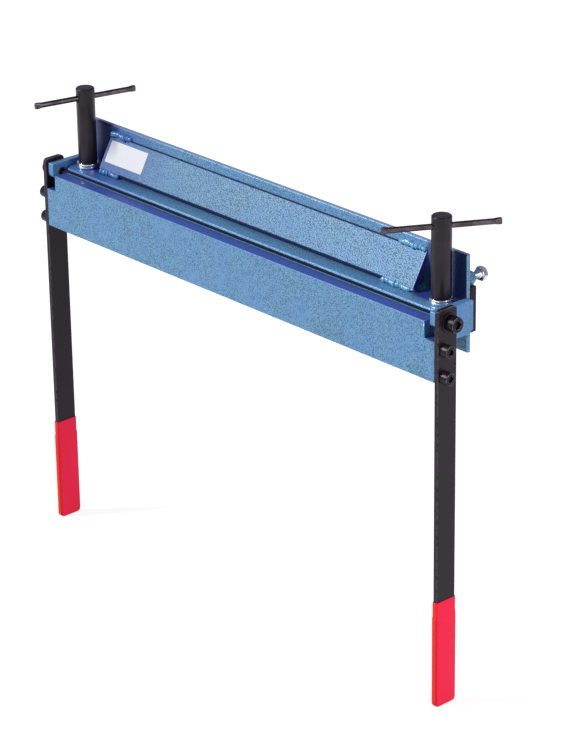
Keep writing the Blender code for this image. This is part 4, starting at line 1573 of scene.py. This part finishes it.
    def label(self, plate: Room) -> None:
        """A blank film on the slanted plate's face, near its left end.

        Args:
            plate: the slanted plate's room.
        """
        foot = front_corner("stiffener_plate")
        rise = np.array((plate.low[0], *plate.high[1:])) - foot
        climb = rise / np.linalg.norm(rise)
        out = np.cross(ALONG, climb)
        centre = foot + self.label_up * rise + (self.label_inset + self.label_size[0] / 2) * ALONG
        outline = rounded(rectangle(*self.label_size), self.label_corner, steps=6)
        face = centre + outline[:, :1] * ALONG + outline[:, 1:] * climb
        rings = np.stack((face - out * self.label_sunk, face + out * self.label_thick))
        self.fitter.add(ring_mesh("blank_label", rings), LabelFilm(), Slot.ZINC, "beam")


@dataclass
class Clamp:
    """One long clamp nut with its sliding tommy bar."""

    fitter: Fitter
    side: Side
    bore: float = 6.3 * MM
    bore_depth: float = 48 * MM
    lower_chamfer: float = 0.8 * MM
    chamfer: float = 1.0 * MM
    corner: float = 0.3 * MM
    closed_to: float = 0.3 * MM
    bar_radius: float = 3.0 * MM
    head_tall: float = 3.4 * MM
    head_thin: float = 2.2 * MM
    head_length: float = 8 * MM
    end_round: float = 1.0 * MM
    end_rings: tuple[float, ...] = (0.0, 0.12 * MM, 0.45 * MM, 1.0 * MM)
    neck_from: float = 1.6 * MM
    neck_rings: int = 14
    hole_play: float = 0.3 * MM
    flare: float = 1.1 * MM
    overrun: float = 2 * MM
    nut_sides: int = 128
    drill_sides: int = 64
    bar_sides: int = 48

    @property
    def travel(self) -> np.ndarray:
        """Looks up which way the bar slides.

        Returns:
            The axis of its joint.
        """
        name = f"tommy_bar_{self.side.label}_slide"
        joint = next(joint for joint in self.fitter.frame["joints"] if joint["name"] == name)
        return np.array(joint["axis"], float)

    def build(self) -> None:
        """Builds the nut, cuts its cross hole, and builds the bar in it."""
        node = f"clamp_nut_{self.side.label}"
        room, bar = Room.of(node), Room.of(f"tommy_bar_{self.side.label}")
        outer = room.size[0] / 2
        axis = Axis(np.array((*bar.middle[:2], room.low[2])), UP)
        nut = self.closed_nut(f"{node}_turned", axis, outer, room.size[2])
        cut_away(nut, self.drill(bar.middle, outer))
        self.fitter.fit(nut, NUT_OXIDE, Slot.BLACK, node)
        self.bar(bar)

    def closed_nut(self, name: str, axis: Axis, outer: float, length: float) -> bpy.types.Object:
        """The nut's rings from the roof of its bore, down, out and up to its top face.

        Args:
            name: the nut's name.
            axis: the line it stands on.
            outer: its radius.
            length: its length.

        Returns:
            The nut, without its cross hole.
        """
        profile = rounded([
            (self.closed_to, self.bore_depth), (self.bore, self.bore_depth), (self.bore, 0),
            (outer - self.lower_chamfer, 0), (outer, self.lower_chamfer),
            (outer, length - self.chamfer), (outer - self.chamfer, length),
            (self.closed_to, length),
        ], self.corner, closed=False)
        return axis.turned(name, profile, sides=self.nut_sides)

    def drill(self, cross: np.ndarray, outer: float) -> bpy.types.Object:
        """The cross hole's shape: a rod that widens to a flare at both mouths.

        Args:
            cross: where the bar crosses the nut's axis.
            outer: the nut's radius.

        Returns:
            The shape to be taken out.
        """
        hole = self.bar_radius + self.hole_play
        far, wide = outer + self.overrun, hole + self.flare + self.overrun
        rows = [(wide, -far), (hole, self.flare - outer), (hole, outer - self.flare), (wide, far)]
        return Axis(cross, self.travel).turned("cross_drill", rows, sides=self.drill_sides)

    def bar(self, room: Room) -> None:
        """A round bar whose ends are pressed flat and upright.

        Its section is a superellipse whose half width and half height blend from the round bar
        to the pressed head, and it closes over a short round end.

        Args:
            room: the bar's room.
        """
        node = f"tommy_bar_{self.side.label}"
        half, head = self.bar_half(room.size), self.head_length
        tip = np.array(self.end_rings)
        neck = np.linspace(self.neck_from, head, self.neck_rings)
        place = np.concatenate((tip - half, neck - half, half - neck[::-1], half - tip[::-1]))
        inside = half - np.abs(place)
        pressed = 1 - np.clip((inside - head / 3) / (head * 2 / 3), 0, 1)
        pressed = pressed * pressed * (3 - 2 * pressed)
        end = np.sqrt(1 - (1 - np.clip(inside / self.end_round, 0, 1)) ** 2)
        shrink = 0.75 + 0.25 * end
        tall = (self.bar_radius + pressed * (self.head_tall - self.bar_radius)) * shrink
        thin = (self.bar_radius + pressed * (self.head_thin - self.bar_radius)) * shrink
        power = 1 / (1 + pressed[:, None])
        angle = np.linspace(0, FULL_TURN, self.bar_sides, endpoint=False)[None, :]
        cosine, sine = np.cos(angle), np.sin(angle)
        across_bar = thin[:, None] * np.sign(cosine) * np.abs(cosine) ** power
        upwards = tall[:, None] * np.sign(sine) * np.abs(sine) ** power
        path = room.middle + place[:, None] * self.travel
        piece = tube(f"{node}_pressed", path, np.stack((across_bar, upwards), axis=-1))
        self.fitter.fit(piece, DARK_BAR, Slot.BAR, node)

    def bar_half(self, size: np.ndarray) -> float:
        """Half of the bar's length, from its box and its ends' thickness."""
        slant = np.abs(self.travel)
        return float((size[1] - 2 * self.head_thin * slant[0]) / 2 / slant[1])


@dataclass
class Adjuster:
    """One hexagon adjusting screw behind the beam's rear leg."""

    fitter: Fitter
    side: Side
    thread: Thread = Thread(4.0 * MM, 1.25 * MM, 8)
    head_height: float = 5.3 * MM
    under_head: float = 0.3 * MM
    sides: int = 96

    def build(self) -> None:
        """Builds the screw as one row of rings: tip, thread, underside, flats, cone, top face."""
        node = f"adjuster_screw_{self.side.label}"
        room, thread = Room.of(node), self.thread
        length, width = room.size[1:]
        shank = length - self.head_height
        flats = shank + self.under_head
        cone = [(radii, length - depth)
                for radii, depth in reversed(hexagon_end(width, self.sides))]
        rows = [
            (thread.radius - thread.depth, 0.0),
            *thread.rows(thread.depth, shank - 0.5 * thread.pitch, self.sides, 2),
            (thread.radius, shank), (0.47 * width, shank), (0.475 * width, flats),
            (hexagon(width, self.sides), flats), *cone,
        ]
        piece = room.axis(BACKWARDS).turned(f"{node}_threaded", rows, sides=self.sides)
        self.fitter.fit(piece, ZINC, Slot.ZINC, node)


# Studio


@dataclass
class Studio:
    """A pale floor, soft light from the front left, and the camera."""

    azimuth: float = math.radians(48.32)
    elevation: float = math.radians(23.45)
    roll: float = math.radians(-0.9)
    camera_place: tuple[float, float, float] = (2.2523, -1.9878, 1.1693)
    lens: float = 151.3
    sensor: float = 36.0
    key_from: tuple[float, float, float] = (-0.50, -0.70, 0.62)
    key_strength: float = 3.5
    key_angle: float = math.radians(12)
    panel_place: tuple[float, float, float] = (2.1, 0.1, 0.9)
    panel_size: tuple[float, float] = (0.7, 1.8)
    panel_power: float = 22.0
    world_strength: float = 0.32
    world_colour: Colour = (0.80, 0.84, 1.0)
    floor_colour: Colour = (0.30, 0.30, 0.31)
    floor_shown: float = 0.84
    floor_half: float = 30.0
    floor_below: float = 0.5 * MM

    def build(self) -> None:
        """Builds the whole studio."""
        self.camera()
        self.lamps()
        self.world()
        self.floor()
        bpy.context.scene.view_settings.view_transform = "Standard"

    def camera(self) -> None:
        """Places the camera and gives it the photograph's lens."""
        data = bpy.data.cameras.new("camera")
        data.lens = self.lens
        data.sensor_fit = "VERTICAL"
        data.sensor_height = self.sensor
        data.sensor_width = self.sensor
        camera = link("camera", data)
        level = math.cos(self.elevation)
        back = Vector((math.sin(self.azimuth) * level, -math.cos(self.azimuth) * level,
                       math.sin(self.elevation)))
        camera.location = self.camera_place
        camera.rotation_mode = "QUATERNION"
        level_turn = (-back).to_track_quat("-Z", "Y")
        camera.rotation_quaternion = Quaternion(back, self.roll) @ level_turn
        bpy.context.scene.camera = camera

    def lamps(self) -> None:
        """The key, a wide sun from the front left, and a tall soft panel on the right."""
        sun = bpy.data.lights.new("key", "SUN")
        sun.energy = self.key_strength
        sun.angle = self.key_angle
        key = link("key", sun)
        soft = bpy.data.lights.new("side_panel", "AREA")
        soft.shape = "RECTANGLE"
        soft.size, soft.size_y = self.panel_size
        soft.energy = self.panel_power
        panel = link("side_panel", soft)
        panel.location = self.panel_place
        for lamp, place in ((key, self.key_from), (panel, self.panel_place)):
            lamp.rotation_euler = Vector(place).to_track_quat("Z", "Y").to_euler()

    def world(self) -> None:
        """Even pale light from everywhere, which the camera itself sees as white."""
        graph = Graph(bpy.data.worlds.new("studio"), "Background", "World Output")
        graph.dressed(Color=self.world_colour, Strength=self.world_strength)
        light = Wire(graph, graph.shader.outputs["Background"])
        white = graph.node("ShaderNodeBackground", {"Color": (1.0, 1.0, 1.0)})
        seen = graph.node("ShaderNodeLightPath", out="Is Camera Ray")
        both = graph.node("ShaderNodeMixShader", {0: seen, 1: light, 2: white})
        graph.feed(graph.output.inputs["Surface"], both)
        bpy.context.scene.world = graph.owner

    def floor(self) -> None:
        """A floor under the grips that shows white to the camera and keeps the soft shadow."""
        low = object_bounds()[0].z - self.floor_below
        far = self.floor_half
        corners = np.array(((-far, -far, low), (far, -far, low), (far, far, low), (-far, far, low)))
        floor = mesh_object("floor", corners, [(0, 1, 2, 3)])
        graph = Graph.of_material("floor_paper")
        graph.dressed(Base_Color=self.floor_colour, Roughness=0.9, Specular_IOR_Level=0.0)
        seen, glossy = (graph.node("ShaderNodeLightPath", out=ray)
                        for ray in ("Is Camera Ray", "Is Glossy Ray"))
        lift, dark = (graph.node("ShaderNodeEmission", {"Color": (grey,) * 3, "Strength": power})
                      for grey, power in ((1.0, self.floor_shown), (0.0, 0.0)))
        shown = (seen + glossy).ramped(0.0, 1.0)
        glow = graph.node("ShaderNodeMixShader", {0: shown, 1: dark, 2: lift})
        surface = Wire(graph, graph.shader.outputs["BSDF"])
        both = graph.node("ShaderNodeAddShader", {0: surface, 1: glow})
        graph.feed(graph.output.inputs["Surface"], both)
        floor.data.materials.append(graph.owner)
        floor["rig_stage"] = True


def main() -> None:
    """Loads the frame, builds the studio and dresses every sub-assembly."""
    logging.basicConfig(level=logging.INFO, format="%(message)s")
    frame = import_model()
    fitter = Fitter(frame)
    Studio().build()
    Base(fitter).build()
    Apron(fitter).build()
    Beam(fitter).build()
    for side in Side:
        Clamp(fitter, side).build()
        Adjuster(fitter, side).build()


if __name__ == "__main__":
    main()
